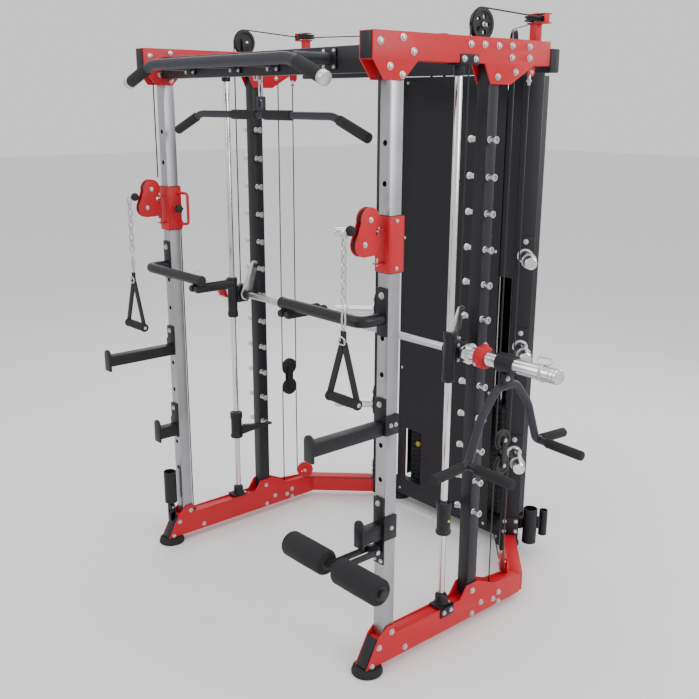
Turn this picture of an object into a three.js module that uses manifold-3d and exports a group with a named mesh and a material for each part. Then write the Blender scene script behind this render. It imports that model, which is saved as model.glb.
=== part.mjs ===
// Smith machine with two cable columns, a twin-stack tower and its bolt-on stations.
// Millimetres, +Z up, +X to the machine's right, -Y to the front where the user stands.
// In the numbers below y = 0 is the front face of the front uprights; the whole group is
// shifted by ORIGIN_Y at the end, so that the origin lies under the middle of the machine.
import * as THREE from 'three';
import { mergeVertices } from 'three/addons/utils/BufferGeometryUtils.js';
import Module from 'manifold-3d';

const wasm = await Module();
wasm.setup();

// ---- driving dimensions -------------------------------------------------------------
const TUBE = 50;                 // side of the square uprights
const HALF = TUBE / 2;
const WALL = 3;                  // wall of every steel tube
const GAP = 0.3;                 // clearance between neighbouring pieces
const SIDE_X = 650;              // centre of the left and right frames
const REAR_Y = 430;              // front face of the rear uprights
const BEAM_FRONT = -80;          // front end of base beams and top beams
const BEAM_REAR = 741;           // rear end of both
const BASE_LOW = 27;             // underside of the base beams
const BASE_TOP = 122;            // top of the base beams
const TOP_LOW = 2018;            // underside of the top beams
const TOP_HIGH = 2098;           // top of the top beams
const PLATE = 5;                 // thickness of the gusset plates
const ROD_Y = 315;               // smith guide rods
const ROD_R = 12.5;
const BAR_Y = 360;               // smith bar axis
const BAR_Z = 1080;
const BAR_R = 14;
const SLEEVE_R = 25;             // load sleeves, 50 mm
const BAR_HALF = 1076;           // half of the bar's length
const PEG_PITCH = 120;
const PEG_TOP = 1783;
const PEG_ROWS = 12;
const PEG_Y = 444;
const HOOK_X = 611;              // hook plates run in the necks of the inner pegs
const HOOK_OPEN = 16;            // degrees that the hooks stand off the pegs
const CABLE_R = 2.5;
const TROLLEY_Z = 1480;          // middle of the trolley sleeves
const TROLLEY_H = 174;
const BLOCK_Y = 625;             // floating double-pulley blocks
const BLOCK_Z = 640;
const STACK_X = 219;
const SHROUD_Y = 1000;
const FOOT_Y = 1077;             // tower feet
const ORIGIN_Y = 449;            // middle of the bounding box

// ---- materials ----------------------------------------------------------------------
const paint = (color, roughness = 0.5, metalness = 0.1) =>
  new THREE.MeshStandardMaterial({ color, roughness, metalness });
const RED = paint(0xe02036, 0.38);
const BLACK = paint(0x26262c, 0.5);
const STEEL = paint(0xb9bbbe, 0.34, 1);
const CHROME = paint(0xd8dade, 0.14, 1);
const RUBBER = paint(0x17171a, 0.85, 0);
const CABLE = paint(0x101013, 0.6, 0);
const IRON = paint(0x33343a, 0.6, 0.6);

// ---- shapes -------------------------------------------------------------------------
function solid(geometry) {
  const plain = geometry.clone();
  plain.deleteAttribute('normal');
  plain.deleteAttribute('uv');
  const merged = mergeVertices(plain, 1e-4);
  const vertProperties = new Float32Array(merged.attributes.position.array);
  const triVerts = new Uint32Array(merged.index.array);
  return new wasm.Manifold(new wasm.Mesh({ numProp: 3, vertProperties, triVerts }));
}

function geometryOf(manifold) {
  const mesh = manifold.getMesh();
  const geometry = new THREE.BufferGeometry();
  geometry.setAttribute('position', new THREE.BufferAttribute(mesh.vertProperties, 3));
  geometry.setIndex(new THREE.BufferAttribute(mesh.triVerts, 1));
  geometry.computeVertexNormals();
  return geometry;
}

function join(...shapes) {
  return shapes.flat().map((s) => (s instanceof THREE.BufferGeometry ? solid(s) : s))
    .reduce((a, b) => a.add(b));
}

function cut(body, ...tools) {
  const start = body instanceof THREE.BufferGeometry ? solid(body) : body;
  return tools.flat().map((s) => (s instanceof THREE.BufferGeometry ? solid(s) : s))
    .reduce((a, b) => a.subtract(b), start);
}

function box(x0, x1, y0, y1, z0, z1) {
  return new THREE.BoxGeometry(x1 - x0, y1 - y0, z1 - z0)
    .translate((x0 + x1) / 2, (y0 + y1) / 2, (z0 + z1) / 2);
}

// a cylinder between two points
function rod(from, to, radius, sides = 16, radiusEnd = radius) {
  const a = new THREE.Vector3(...from);
  const b = new THREE.Vector3(...to);
  const length = a.distanceTo(b);
  const turn = new THREE.Quaternion()
    .setFromUnitVectors(new THREE.Vector3(0, 1, 0), b.clone().sub(a).normalize());
  const middle = a.clone().add(b).multiplyScalar(0.5);
  return new THREE.CylinderGeometry(radiusEnd, radius, length, sides)
    .applyQuaternion(turn).translate(middle.x, middle.y, middle.z);
}

// a plate drawn as [y, z] points, standing across X from x0 to x1
function plateX(points, x0, x1) {
  const shape = new THREE.Shape(points.map(([y, z]) => new THREE.Vector2(y, z)));
  const geometry = new THREE.ExtrudeGeometry(shape, { depth: x1 - x0, bevelEnabled: false });
  const axes = new THREE.Matrix4().makeBasis(
    new THREE.Vector3(0, 1, 0), new THREE.Vector3(0, 0, 1), new THREE.Vector3(1, 0, 0));
  return geometry.applyMatrix4(axes).translate(x0, 0, 0);
}

// a slab drawn as [x, y] points, from height z0 to z1
function slab(points, z0, z1) {
  const shape = new THREE.Shape(points.map(([x, y]) => new THREE.Vector2(x, y)));
  return new THREE.ExtrudeGeometry(shape, { depth: z1 - z0, bevelEnabled: false })
    .translate(0, 0, z0);
}

// straight runs through the points with round bends of the given radius
function bentPath(points, bend) {
  const at = points.map((p) => new THREE.Vector3(...p));
  const path = new THREE.CurvePath();
  let start = at[0];
  for (let i = 1; i < at.length - 1; i += 1) {
    const back = at[i - 1].clone().sub(at[i]).normalize();
    const on = at[i + 1].clone().sub(at[i]).normalize();
    const reach = bend / Math.tan(back.angleTo(on) / 2);
    const into = at[i].clone().addScaledVector(back, reach);
    const out = at[i].clone().addScaledVector(on, reach);
    path.add(new THREE.LineCurve3(start, into));
    path.add(new THREE.QuadraticBezierCurve3(into, at[i], out));
    start = out;
  }
  path.add(new THREE.LineCurve3(start, at.at(-1)));
  return path;
}

// a round bar along a path; stations are put where the path bends
function sweep(path, radius, sides = 8, bendSteps = 3) {
  const points = [];
  path.curves.forEach((curve) => {
    const steps = curve instanceof THREE.LineCurve3 ? 1 : bendSteps;
    for (let i = 0; i < steps; i += 1) points.push(curve.getPoint(i / steps));
  });
  points.push(path.curves.at(-1).getPoint(1));
  const tangents = points.map((p, i) => {
    const before = points[Math.max(i - 1, 0)];
    const after = points[Math.min(i + 1, points.length - 1)];
    return after.clone().sub(before).normalize();
  });
  // the extruder samples the path evenly, so it is given the exact stations instead
  const track = new THREE.Curve();
  track.getPoint = (t) => points[Math.round(t * (points.length - 1))].clone();
  track.getPointAt = track.getPoint;
  track.getTangentAt = (t) => tangents[Math.round(t * (points.length - 1))].clone();
  track.getTangent = track.getTangentAt;
  track.getSpacedPoints = () => points.map((p) => p.clone());
  const circle = new THREE.Shape();
  for (let i = 0; i < sides; i += 1) {
    const angle = (2 * Math.PI * i) / sides;
    const corner = [radius * Math.cos(angle), radius * Math.sin(angle)];
    if (i === 0) circle.moveTo(...corner);
    else circle.lineTo(...corner);
  }
  return new THREE.ExtrudeGeometry(circle, {
    steps: points.length - 1, extrudePath: track, bevelEnabled: false,
  });
}

const bentRod = (points, radius, bend, sides = 8) => sweep(bentPath(points, bend), radius, sides);

// an arc of points in the YZ plane of x, angles in degrees from +Y towards +Z
function arc(x, y, z, radius, from, to, steps = 8) {
  return Array.from({ length: steps + 1 }, (_, i) => {
    const angle = THREE.MathUtils.degToRad(from + ((to - from) * i) / steps);
    return [x, y + radius * Math.cos(angle), z + radius * Math.sin(angle)];
  });
}

// a cord through hand-placed points, with no rounding of its own
function cord(points, radius = CABLE_R) {
  const at = points.map((p) => new THREE.Vector3(...p));
  const path = new THREE.CurvePath();
  for (let i = 1; i < at.length; i += 1) path.add(new THREE.LineCurve3(at[i - 1], at[i]));
  return sweep(path, radius, 8);
}

// a turned piece about an axis through `at`, profile as [radius, along] pairs
function turned(profile, at, axis = 'z', sides = 20) {
  const geometry = new THREE.LatheGeometry(
    profile.map(([r, h]) => new THREE.Vector2(r, h)), sides);
  if (axis === 'z') geometry.rotateX(Math.PI / 2);
  if (axis === 'x') geometry.rotateZ(-Math.PI / 2);
  return geometry.translate(...at);
}

// a grooved pulley with its bore
function pulley(at, axis, radius, width, bore) {
  const half = width / 2;
  return turned([
    [bore, -half], [radius, -half], [radius - 3, -1.5], [radius - 3, 1.5], [radius, half],
    [bore, half], [bore, -half],
  ], at, axis, 14);
}

// ---- the assembly -------------------------------------------------------------------
const machine = new THREE.Group();

function add(name, shape, material) {
  const geometry = shape instanceof THREE.BufferGeometry ? shape : geometryOf(shape);
  const mesh = new THREE.Mesh(geometry, material);
  mesh.name = name;
  machine.add(mesh);
  return mesh;
}

// a shape built for the right side, mirrored when it is the left one
function sided(side, shape) {
  const body = shape instanceof THREE.BufferGeometry ? solid(shape) : shape;
  return side > 0 ? body : body.mirror([1, 0, 0]);
}

const SIDES = [['left', -1], ['right', 1]];
const X_OUT = SIDE_X + HALF;
const X_IN = SIDE_X - HALF;

function hollowTube(z0, z1, y0) {
  return cut(box(X_IN + GAP, X_OUT - GAP, y0, y0 + TUBE, z0, z1),
    box(X_IN + WALL, X_OUT - WALL, y0 + WALL, y0 + TUBE - WALL, z0 - 1, z1 + 1));
}

function frontUpright() {
  const holes = [];
  for (let row = 0; row <= PEG_ROWS; row += 1) {
    const z = PEG_TOP - row * PEG_PITCH;
    holes.push(rod([SIDE_X, -5, z], [SIDE_X, HALF, z], 8, 6));
  }
  return cut(hollowTube(BASE_TOP + GAP, TOP_LOW - GAP, 0), holes);
}

function rearUpright() {
  const pegs = [];
  for (let row = 0; row < PEG_ROWS; row += 1) {
    const z = PEG_TOP - row * PEG_PITCH;
    pegs.push(rod([SIDE_X - 58, PEG_Y, z], [X_IN + 1, PEG_Y, z], 9, 6));
    pegs.push(rod([X_OUT - 1, PEG_Y, z], [SIDE_X + 58, PEG_Y, z], 9, 6));
  }
  return join(hollowTube(BASE_TOP + GAP, TOP_LOW - GAP, REAR_Y), pegs);
}

// the gusset outlines around each upright, as [y, z]
const BASE_PLATE = [
  [BEAM_FRONT, BASE_LOW], [-24, BASE_TOP + 8], [14, BASE_TOP + 38], [50, BASE_TOP + 38],
  [58, BASE_TOP], [390, BASE_TOP], [424, BASE_TOP + 46], [486, BASE_TOP + 46],
  [585, BASE_TOP], [BEAM_REAR, BASE_TOP - 17], [BEAM_REAR, BASE_LOW],
];
const TOP_PLATE = [
  [BEAM_FRONT, TOP_HIGH], [BEAM_FRONT, TOP_LOW + 2], [-36, TOP_LOW - 56], [44, TOP_LOW - 56],
  [102, TOP_LOW], [402, TOP_LOW], [434, TOP_LOW - 62], [533, TOP_LOW - 62],
  [650, TOP_LOW], [650, TOP_HIGH],
];

// fixed turning pulley that leads the stack cable into the brace, at 45 degrees
const BRACE_PULLEY = [621.5, 693.5, 153];
function bracePulley() {
  const [x, y, z] = BRACE_PULLEY;
  const n = Math.SQRT1_2;
  const disc = (from, to, radius) => rod([x + n * from, y + n * from, z],
    [x + n * to, y + n * to, z], radius, 12);
  const stand = slab([[x + 3, y + 14], [x + 14, y + 3], [x + 18, y + 7], [x + 7, y + 18]], 98, z);
  return join(disc(-13, 13, 36), stand);
}

function baseBeam() {
  const shell = plateX([
    [BEAM_FRONT + 3, BASE_LOW], [-24, BASE_TOP], [BEAM_REAR, BASE_TOP - 18],
    [BEAM_REAR, BASE_LOW],
  ], X_IN, X_OUT);
  const inside = box(X_IN + WALL, X_OUT - WALL, -10, BEAM_REAR + 1, BASE_LOW + WALL, 100);
  const slots = [
    box(SIDE_X - 8, SIDE_X + 8, 60, 110, 95, BASE_TOP + 5),
    box(SIDE_X - 8, SIDE_X + 8, BLOCK_Y - 60, BLOCK_Y - 15, 95, BASE_TOP + 5),
  ];
  const plates = [[X_OUT, X_OUT + PLATE], [X_IN - PLATE, X_IN]]
    .map(([x0, x1]) => plateX(BASE_PLATE, x0, x1));
  const foot = turned([[0, 0], [55, 0], [50, 22], [20, 22], [20, BASE_LOW + 2],
    [0, BASE_LOW + 2]], [SIDE_X, -50, 0], 'z', 12);
  return join(cut(shell, inside, slots), plates, foot, bracePulley(), rearBrace());
}

function topBeam() {
  const shell = box(X_IN, X_OUT, BEAM_FRONT, BEAM_REAR, TOP_LOW, TOP_HIGH);
  const inside = box(X_IN + WALL, X_OUT - WALL, BEAM_FRONT + 6, BEAM_REAR + 1,
    TOP_LOW + WALL, TOP_HIGH - WALL);
  const slots = [
    box(SIDE_X - 8, SIDE_X + 8, -60, -20, TOP_LOW - 5, TOP_LOW + 10),
    box(SIDE_X - 8, SIDE_X + 8, BLOCK_Y - 60, BLOCK_Y - 15, TOP_LOW - 5, TOP_LOW + 10),
    box(SIDE_X - 12, SIDE_X + 12, BAR_Y - 14, 455, TOP_LOW - 5, TOP_HIGH + 5),
  ];
  const plates = [[X_OUT, X_OUT + PLATE], [X_IN - PLATE, X_IN]]
    .map(([x0, x1]) => plateX(TOP_PLATE, x0, x1));
  const cheeks = [-1, 1].map((s) => box(SIDE_X + s * 16 - 2, SIDE_X + s * 16 + 2,
    392, 432, TOP_HIGH - 1, TOP_HIGH + 52));
  const axle = rod([SIDE_X - 17, 412, 2137], [SIDE_X + 17, 412, 2137], 6, 10);
  const post = box(SIDE_X - 42, SIDE_X - 12, 706, 736, TOP_HIGH - 1, 2158);
  const stud = rod([SIDE_X - 27, 720, 2150], [SIDE_X - 27, 720, 2186], 6, 10);
  const tab = box(SIDE_X - 5, SIDE_X + 5, 655, 685, TOP_LOW - 32, TOP_LOW + 1);
  return join(cut(shell, inside, slots), plates, cheeks, axle, post, stud, tab);
}

// brace running inwards at 45 degrees from the base beam to the tower post
const POST_FACE = [432, 977];
function rearBrace() {
  const reach = HALF * Math.SQRT1_2;
  const plan = [
    [X_IN, BEAM_REAR - 1], [X_OUT, BEAM_REAR - 1], [X_OUT, BEAM_REAR + 21],
    [POST_FACE[0] + reach, POST_FACE[1] + reach], [POST_FACE[0] - reach, POST_FACE[1] - reach],
  ];
  return slab(plan, BASE_LOW + 0.5, 104.5);
}

// a square tube or block along the 45 degree line of the right-hand post
function onPostLine(along0, along1, across, z0, z1) {
  const u = [-Math.SQRT1_2, Math.SQRT1_2];
  const n = [Math.SQRT1_2, Math.SQRT1_2];
  const corner = (a, c) => [
    POST_FACE[0] + u[0] * a + n[0] * c, POST_FACE[1] + u[1] * a + n[1] * c,
  ];
  return slab([corner(along0, -across), corner(along0, across), corner(along1, across),
    corner(along1, -across)], z0, z1);
}

const HORN_Z = [1316, 945, 487];
function towerHalf() {
  const out = [Math.SQRT1_2, -Math.SQRT1_2];
  const horns = HORN_Z.map((z) => {
    const from = [POST_FACE[0] - 10 * out[0], POST_FACE[1] - 10 * out[1], z];
    const to = [POST_FACE[0] + 190 * out[0], POST_FACE[1] + 190 * out[1], z];
    return rod(from, to, SLEEVE_R - 0.5, 12);
  });
  const mounts = HORN_Z.map((z) => onPostLine(-4, 1, 34, z - 45, z + 75));
  return join(
    onPostLine(GAP, TUBE, 37.5, BASE_LOW, TOP_LOW),
    onPostLine(TUBE - 1, 130, HALF, BASE_LOW, 105),
    turned([[0, 0], [52, 0], [46, 22], [20, 22], [20, BASE_LOW + 2], [0, BASE_LOW + 2]],
      [344, FOOT_Y, 0], 'z', 12),
    horns, mounts,
  );
}

// pulley on top of the tower, in the plane of the cable that leaves the turn pulley
const TURN_PULLEY = [623, 720, 2172];
const WRAP = THREE.MathUtils.degToRad(50);
const CABLE_WAY = [-Math.sin(WRAP), Math.cos(WRAP)];
const TOWER_PULLEY = [191, 1138.4, 2134];
function towerPulley() {
  const [x, y, z] = TOWER_PULLEY;
  const n = [CABLE_WAY[1], -CABLE_WAY[0]];
  const disc = (from, to, radius) => rod([x + n[0] * from, y + n[1] * from, z],
    [x + n[0] * to, y + n[1] * to, z], radius, 12);
  const post = box(x - 14, x + 14, y - 3, y + 3, TOP_LOW + 25, z + 8)
    .translate(-x, -y, 0).rotateZ(WRAP + Math.PI / 2).translate(x, y, 0)
    .translate(n[0] * 11.5, n[1] * 11.5, 0);
  return join(disc(-9, 9, 46), post);
}

function towerFrame() {
  const right = towerHalf();
  const left = right.mirror([1, 0, 0]);
  const rails = [
    box(-360, 360, FOOT_Y - HALF, FOOT_Y + HALF, BASE_LOW, 105),
    box(-300, 300, FOOT_Y, 1196, 85, 105),
    box(-440, 440, 1006, 1056, TOP_LOW - 1, TOP_LOW + 50),
    box(-X_OUT, X_OUT, BEAM_REAR + GAP, BEAM_REAR + GAP + TUBE, 1998, 2076),
    box(-325, -275, BEAM_REAR + TUBE - 2, 1010, TOP_LOW, TOP_LOW + 50),
    box(275, 325, BEAM_REAR + TUBE - 2, 1010, TOP_LOW, TOP_LOW + 50),
  ];
  const guides = [-1, 1].flatMap((s) => [-38, 38].map((d) =>
    rod([s * STACK_X + d, 1137, 100], [s * STACK_X + d, 1137, TOP_LOW + 15], 8, 8)));
  const topPlate = cut(box(-300, 300, 1050, 1196, TOP_LOW + 10, TOP_LOW + 30),
    [-1, 1].map((s) => box(s * 152 - 9, s * 152 + 9, 1162, 1180, TOP_LOW, TOP_LOW + 40)));
  const pulleys = towerPulley();
  return join(right, left, rails, guides, topPlate, pulleys,
    pulleys.mirror([1, 0, 0]));
}

function frontShroud() {
  const sheet = box(-285, 285, SHROUD_Y, SHROUD_Y + 2, 60, 2003);
  const lips = [-1, 1].map((s) => box(s > 0 ? 283 : -285, s > 0 ? 285 : -283,
    SHROUD_Y, SHROUD_Y + 40, 110, 2003));
  const slots = [-1, 1].map((s) => box(s > 0 ? 130 : -230, s > 0 ? 230 : -130,
    SHROUD_Y - 5, SHROUD_Y + 5, 142, 405));
  return cut(join(sheet, lips), slots);
}

function rearShroud() {
  const sheet = box(-330, 330, 1200, 1202, 60, 2003);
  const lips = [-1, 1].map((s) => box(s > 0 ? 328 : -330, s > 0 ? 330 : -328,
    1110, 1202, 112, 2003));
  return join(sheet, lips);
}

function guideRod() {
  return join(
    rod([SIDE_X, ROD_Y, BASE_TOP + 22], [SIDE_X, ROD_Y, TOP_LOW - 28], ROD_R, 12),
    box(SIDE_X - 26, SIDE_X + 26, ROD_Y - 34, ROD_Y + 34, BASE_TOP + GAP, BASE_TOP + 8),
    rod([SIDE_X, ROD_Y, BASE_TOP + 7], [SIDE_X, ROD_Y, BASE_TOP + 42], 22, 12),
    box(SIDE_X - 26, SIDE_X + 26, ROD_Y - 34, ROD_Y + 20, TOP_LOW - 8, TOP_LOW - GAP),
    rod([SIDE_X, ROD_Y, TOP_LOW - 38], [SIDE_X, ROD_Y, TOP_LOW - 7], 18, 12),
  );
}

// ---- smith bar and its carriages ----------------------------------------------------
function carriage() {
  const body = join(
    rod([SIDE_X, ROD_Y, 978], [SIDE_X, ROD_Y, 1155], 24, 12),
    box(SIDE_X - 20, SIDE_X + 18, ROD_Y, BAR_Y + 28, BAR_Z - 38, BAR_Z + 38),
  );
  return cut(body,
    rod([SIDE_X, ROD_Y, 970], [SIDE_X, ROD_Y, 1165], ROD_R + 1, 12),
    rod([SIDE_X - 30, BAR_Y, BAR_Z], [SIDE_X + 30, BAR_Y, BAR_Z], BAR_R + 1, 12));
}

// hook plate drawn engaged, then turned forwards by HOOK_OPEN about the bar
function hook() {
  const dy = PEG_Y - BAR_Y;
  const dz = PEG_TOP - 5 * PEG_PITCH - BAR_Z;
  const reach = Math.hypot(dy, dz);
  const tilt = Math.atan2(dz, dy);
  const outline = new THREE.Shape();
  outline.absarc(0, 0, 25, Math.PI * 0.55, Math.PI * 1.45, false);
  outline.lineTo(reach - 18, -14);
  outline.lineTo(reach - 11, -14);
  outline.absarc(reach, 0, 10.5, Math.PI * 1.08, Math.PI * 0, true);
  outline.lineTo(reach + 10.5, -8);
  outline.lineTo(reach + 20, -8);
  outline.absarc(reach, 2, 22, 0, Math.PI * 0.5, false);
  const plate = new THREE.ExtrudeGeometry(outline, {
    depth: 6, bevelEnabled: false, curveSegments: 4,
  });
  const axes = new THREE.Matrix4().makeBasis(
    new THREE.Vector3(0, 1, 0), new THREE.Vector3(0, 0, 1), new THREE.Vector3(1, 0, 0));
  plate.applyMatrix4(axes);
  plate.rotateX(tilt + THREE.MathUtils.degToRad(HOOK_OPEN));
  return plate.translate(HOOK_X - 3, BAR_Y, BAR_Z);
}

const CLAMP_X = 762;             // plate clamps shut on the load sleeves
function smithBar() {
  const half = join(
    rod([-1, BAR_Y, BAR_Z], [676, BAR_Y, BAR_Z], BAR_R, 12),
    rod([674, BAR_Y, BAR_Z], [BAR_HALF, BAR_Y, BAR_Z], SLEEVE_R, 12),
    rod([696, BAR_Y, BAR_Z], [706, BAR_Y, BAR_Z], 36, 12),
    rod([CLAMP_X - 18, BAR_Y, BAR_Z], [CLAMP_X + 18, BAR_Y, BAR_Z], 40, 12),
    box(CLAMP_X - 16, CLAMP_X + 16, BAR_Y - 10, BAR_Y + 16, BAR_Z + 36, BAR_Z + 54),
    rod([590, BAR_Y, BAR_Z], [622, BAR_Y, BAR_Z], 20, 12),
    hook(),
  );
  return join(half, half.mirror([1, 0, 0]));
}

// rowing handle hung on a ring about the right-hand sleeve
const ROW_X = 866;
function rowHandle() {
  const ring = cut(
    join(rod([ROW_X - 34, BAR_Y, BAR_Z], [ROW_X + 34, BAR_Y, BAR_Z], 33, 12),
      box(ROW_X - 6, ROW_X + 6, BAR_Y - 25, BAR_Y + 25, BAR_Z - 78, BAR_Z - 26)),
    rod([ROW_X - 40, BAR_Y, BAR_Z], [ROW_X + 40, BAR_Y, BAR_Z], SLEEVE_R + 1, 12));
  const legTop = BAR_Z - 74;
  const legs = [-1, 1].map((s) => bentRod([
    [ROW_X, BAR_Y, legTop], [ROW_X, BAR_Y + s * 47, legTop], [ROW_X, BAR_Y + s * 120, legTop - 86],
    [ROW_X, BAR_Y + s * 176, legTop - 234], [ROW_X, BAR_Y + s * 336, legTop - 243],
  ], 14, 26));
  const outer = [-1, 1].map((s) => rod([ROW_X, BAR_Y + s * 182, legTop - 232],
    [ROW_X + 189, BAR_Y + s * 182, legTop - 240], 16, 10));
  const inner = [-1, 1].map((s) => rod([ROW_X, BAR_Y + s * 204, legTop - 235],
    [ROW_X, BAR_Y + s * 338, legTop - 243], 17, 10));
  return join(ring, legs, outer, inner);
}

function safetyStop() {
  const body = join(
    rod([SIDE_X, ROD_Y, 408], [SIDE_X, ROD_Y, 530], 26, 12),
    slab([[SIDE_X - 12, ROD_Y + 10], [SIDE_X - 12, ROD_Y + 38], [590, 420], [590, 462],
      [578, 462], [578, 408], [SIDE_X - 30, ROD_Y]].reverse(), 452, 474),
  );
  return cut(body, rod([SIDE_X, ROD_Y, 400], [SIDE_X, ROD_Y, 540], ROD_R + 1, 12));
}

// ---- cable columns ------------------------------------------------------------------
function trolley() {
  const low = TROLLEY_Z - TROLLEY_H / 2;
  const high = TROLLEY_Z + TROLLEY_H / 2;
  const clear = HALF + 1;
  const sleeve = cut(box(SIDE_X - 32, SIDE_X + 32, -7, TUBE + 7, low, high),
    box(SIDE_X - clear, SIDE_X + clear, -1, TUBE + 1, low - 1, high + 1));
  const grip = bentRod([[SIDE_X - 30, 40, TROLLEY_Z + 62], [SIDE_X - 88, 52, TROLLEY_Z + 62],
    [SIDE_X - 88, 52, TROLLEY_Z - 62], [SIDE_X - 30, 40, TROLLEY_Z - 62]], 6, 14, 8);
  const knob = rod([SIDE_X - 30, 25, TROLLEY_Z], [SIDE_X - 60, 25, TROLLEY_Z], 9, 12);
  const star = rod([SIDE_X - 58, 25, TROLLEY_Z], [SIDE_X - 72, 25, TROLLEY_Z], 17, 12);
  const ears = [TROLLEY_Z + 47, TROLLEY_Z - 60].map((z) =>
    box(SIDE_X - 14, SIDE_X + 14, -34, -6, z, z + 4));
  const pin = rod([SIDE_X, -26, TROLLEY_Z - 60], [SIDE_X, -26, TROLLEY_Z - 20], 3, 8);
  const pinTop = rod([SIDE_X, -26, TROLLEY_Z + 20], [SIDE_X, -26, TROLLEY_Z + 50], 3, 8);
  const lug = box(SIDE_X - 8, SIDE_X + 8, TUBE + 6, TUBE + 26, low + 5, low + 30);
  return join(sleeve, grip, knob, star, ears, pin, pinTop, lug);
}

// figure-of-eight cheeks carrying the two cable pulleys, swivelling about the hinge pin
const PULLEY_HIGH = [-66, TROLLEY_Z + 81];
const PULLEY_LOW = [-89, TROLLEY_Z + 8];
function swivelBracket() {
  const cheek = (x0, x1) => {
    const outline = [];
    const ring = (y, z, r, from, to) => arc(0, y, z, r, from, to, 6)
      .forEach((p) => outline.push([p[1], p[2]]));
    ring(...PULLEY_HIGH, 38, -50, 190);
    ring(...PULLEY_LOW, 38, 150, 280);
    outline.push([-37, PULLEY_LOW[1] - 36], [-37, PULLEY_LOW[1] + 22], [-49, PULLEY_LOW[1] + 34]);
    return plateX(outline, x0, x1);
  };
  const cheeks = [cheek(SIDE_X - 13, SIDE_X - 9), cheek(SIDE_X + 9, SIDE_X + 13)];
  const wheels = [PULLEY_HIGH, PULLEY_LOW].map(([y, z]) =>
    rod([SIDE_X - 9.5, y, z], [SIDE_X + 9.5, y, z], 33, 12));
  const hub = rod([SIDE_X, -26, TROLLEY_Z - 15], [SIDE_X, -26, TROLLEY_Z + 15], 7, 12);
  const web = box(SIDE_X - 12, SIDE_X + 12, -45, -32, TROLLEY_Z - 14, TROLLEY_Z + 14);
  const stop = new THREE.SphereGeometry(16, 8, 6).translate(SIDE_X, -136, TROLLEY_Z + 53);
  const stem = rod([SIDE_X, -125, TROLLEY_Z + 53], [SIDE_X, -60, TROLLEY_Z + 50], 2.5, 8);
  return join(cheeks, wheels, hub, web, stop, stem);
}

// chain, straps and grip, hung under the ball stop
const HANG = [-162, TROLLEY_Z + 53];
function pullHandle() {
  const [y, z] = HANG;
  const lowered = z - 520;
  const straps = [-1, 1].map((s) => rod([SIDE_X, y, z - 330], [SIDE_X + s * 62, y, lowered + 6],
    7, 8));
  return join(
    rod([SIDE_X, y, z - 4], [SIDE_X, y, z - 230], 7, 8),
    rod([SIDE_X, y, z - 225], [SIDE_X, y, z - 305], 11, 8),
    rod([SIDE_X, y, z - 300], [SIDE_X, y, z - 345], 9, 8),
    straps,
    rod([SIDE_X - 72, y, lowered], [SIDE_X + 72, y, lowered], 16, 14),
  );
}

function floatingBlock() {
  const [y, gap] = [BLOCK_Y, 50.5];
  const cheek = (x0) => box(x0, x0 + 4, y - 17, y + 17, BLOCK_Z - gap - 14, BLOCK_Z + gap + 14);
  const wheels = [-1, 1].map((s) =>
    rod([SIDE_X - 9, y, BLOCK_Z + s * gap], [SIDE_X + 9, y, BLOCK_Z + s * gap], 36, 12));
  return join(cheek(SIDE_X - 13), cheek(SIDE_X + 9), wheels,
    box(SIDE_X - 12, SIDE_X + 12, y - 12, y + 12, BLOCK_Z - 6, BLOCK_Z + 6));
}

const LOOP_R = 40;
// up from the block: one run into the top beam, the other to the tab behind it
function upperLoop() {
  const z = BLOCK_Z + 50.5;
  return cord([[SIDE_X, BLOCK_Y - LOOP_R, TOP_LOW + 30], ...arc(SIDE_X, BLOCK_Y, z, LOOP_R,
    180, 360, 8), [SIDE_X, BLOCK_Y + LOOP_R, TOP_LOW - 34]]);
}

// down from the block: one run into the base beam, the other round the brace pulley
// and along the brace to the foot of the stack
function lowerLoop() {
  const z = BLOCK_Z - 50.5;
  const [px, py, pz] = BRACE_PULLEY;
  const turn = [0, 18, 36, 54, 72, 90].map((degrees) => {
    const angle = THREE.MathUtils.degToRad(degrees);
    const out = 39 * Math.cos(angle) * Math.SQRT1_2;
    return [px + out, py - out, pz - 39 * Math.sin(angle)];
  });
  return cord([[SIDE_X, BLOCK_Y - LOOP_R, 60], ...arc(SIDE_X, BLOCK_Y, z, LOOP_R, 180, 0, 8),
    ...turn, [306, 1009, pz - 39], [282, 1064, pz - 39]]);
}

function columnCable() {
  const [y, z] = PULLEY_HIGH;
  return cord([[SIDE_X, y + LOOP_R - 2, z + 38 + 6], [SIDE_X, y + LOOP_R - 2, TOP_LOW + 30]]);
}

function returnCable() {
  return cord([[SIDE_X, 68, TROLLEY_Z - TROLLEY_H / 2 + 4], [SIDE_X, 68, 60]]);
}

function smithCable() {
  return cord([[SIDE_X, BAR_Y, BAR_Z + 38 + GAP], [SIDE_X, BAR_Y, TOP_HIGH + 34]]);
}

// from the crown pulley back to the turning pulley and on into the tower
function counterCable() {
  const [tx, ty, tz] = TURN_PULLEY;
  const bend = [0, 12.5, 25, 37.5, 50].map((degrees) => {
    const angle = THREE.MathUtils.degToRad(degrees);
    return [tx + 43 * Math.cos(angle), ty + 43 * Math.sin(angle), tz];
  });
  const [px, py, pz] = TOWER_PULLEY;
  const over = [90, 72, 54, 36, 18, 0].map((degrees) => {
    const angle = THREE.MathUtils.degToRad(degrees);
    const out = 50 * Math.cos(angle);
    return [px + out * CABLE_WAY[0], py + out * CABLE_WAY[1], pz + 50 * Math.sin(angle)];
  });
  const crown = arc(SIDE_X, 412, 2137, 51, 175, 92, 6);
  return cord([...crown, [SIDE_X, 414, 2188], ...bend, ...over,
    [over[5][0], over[5][1], TOP_LOW - 20]]);
}

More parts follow.
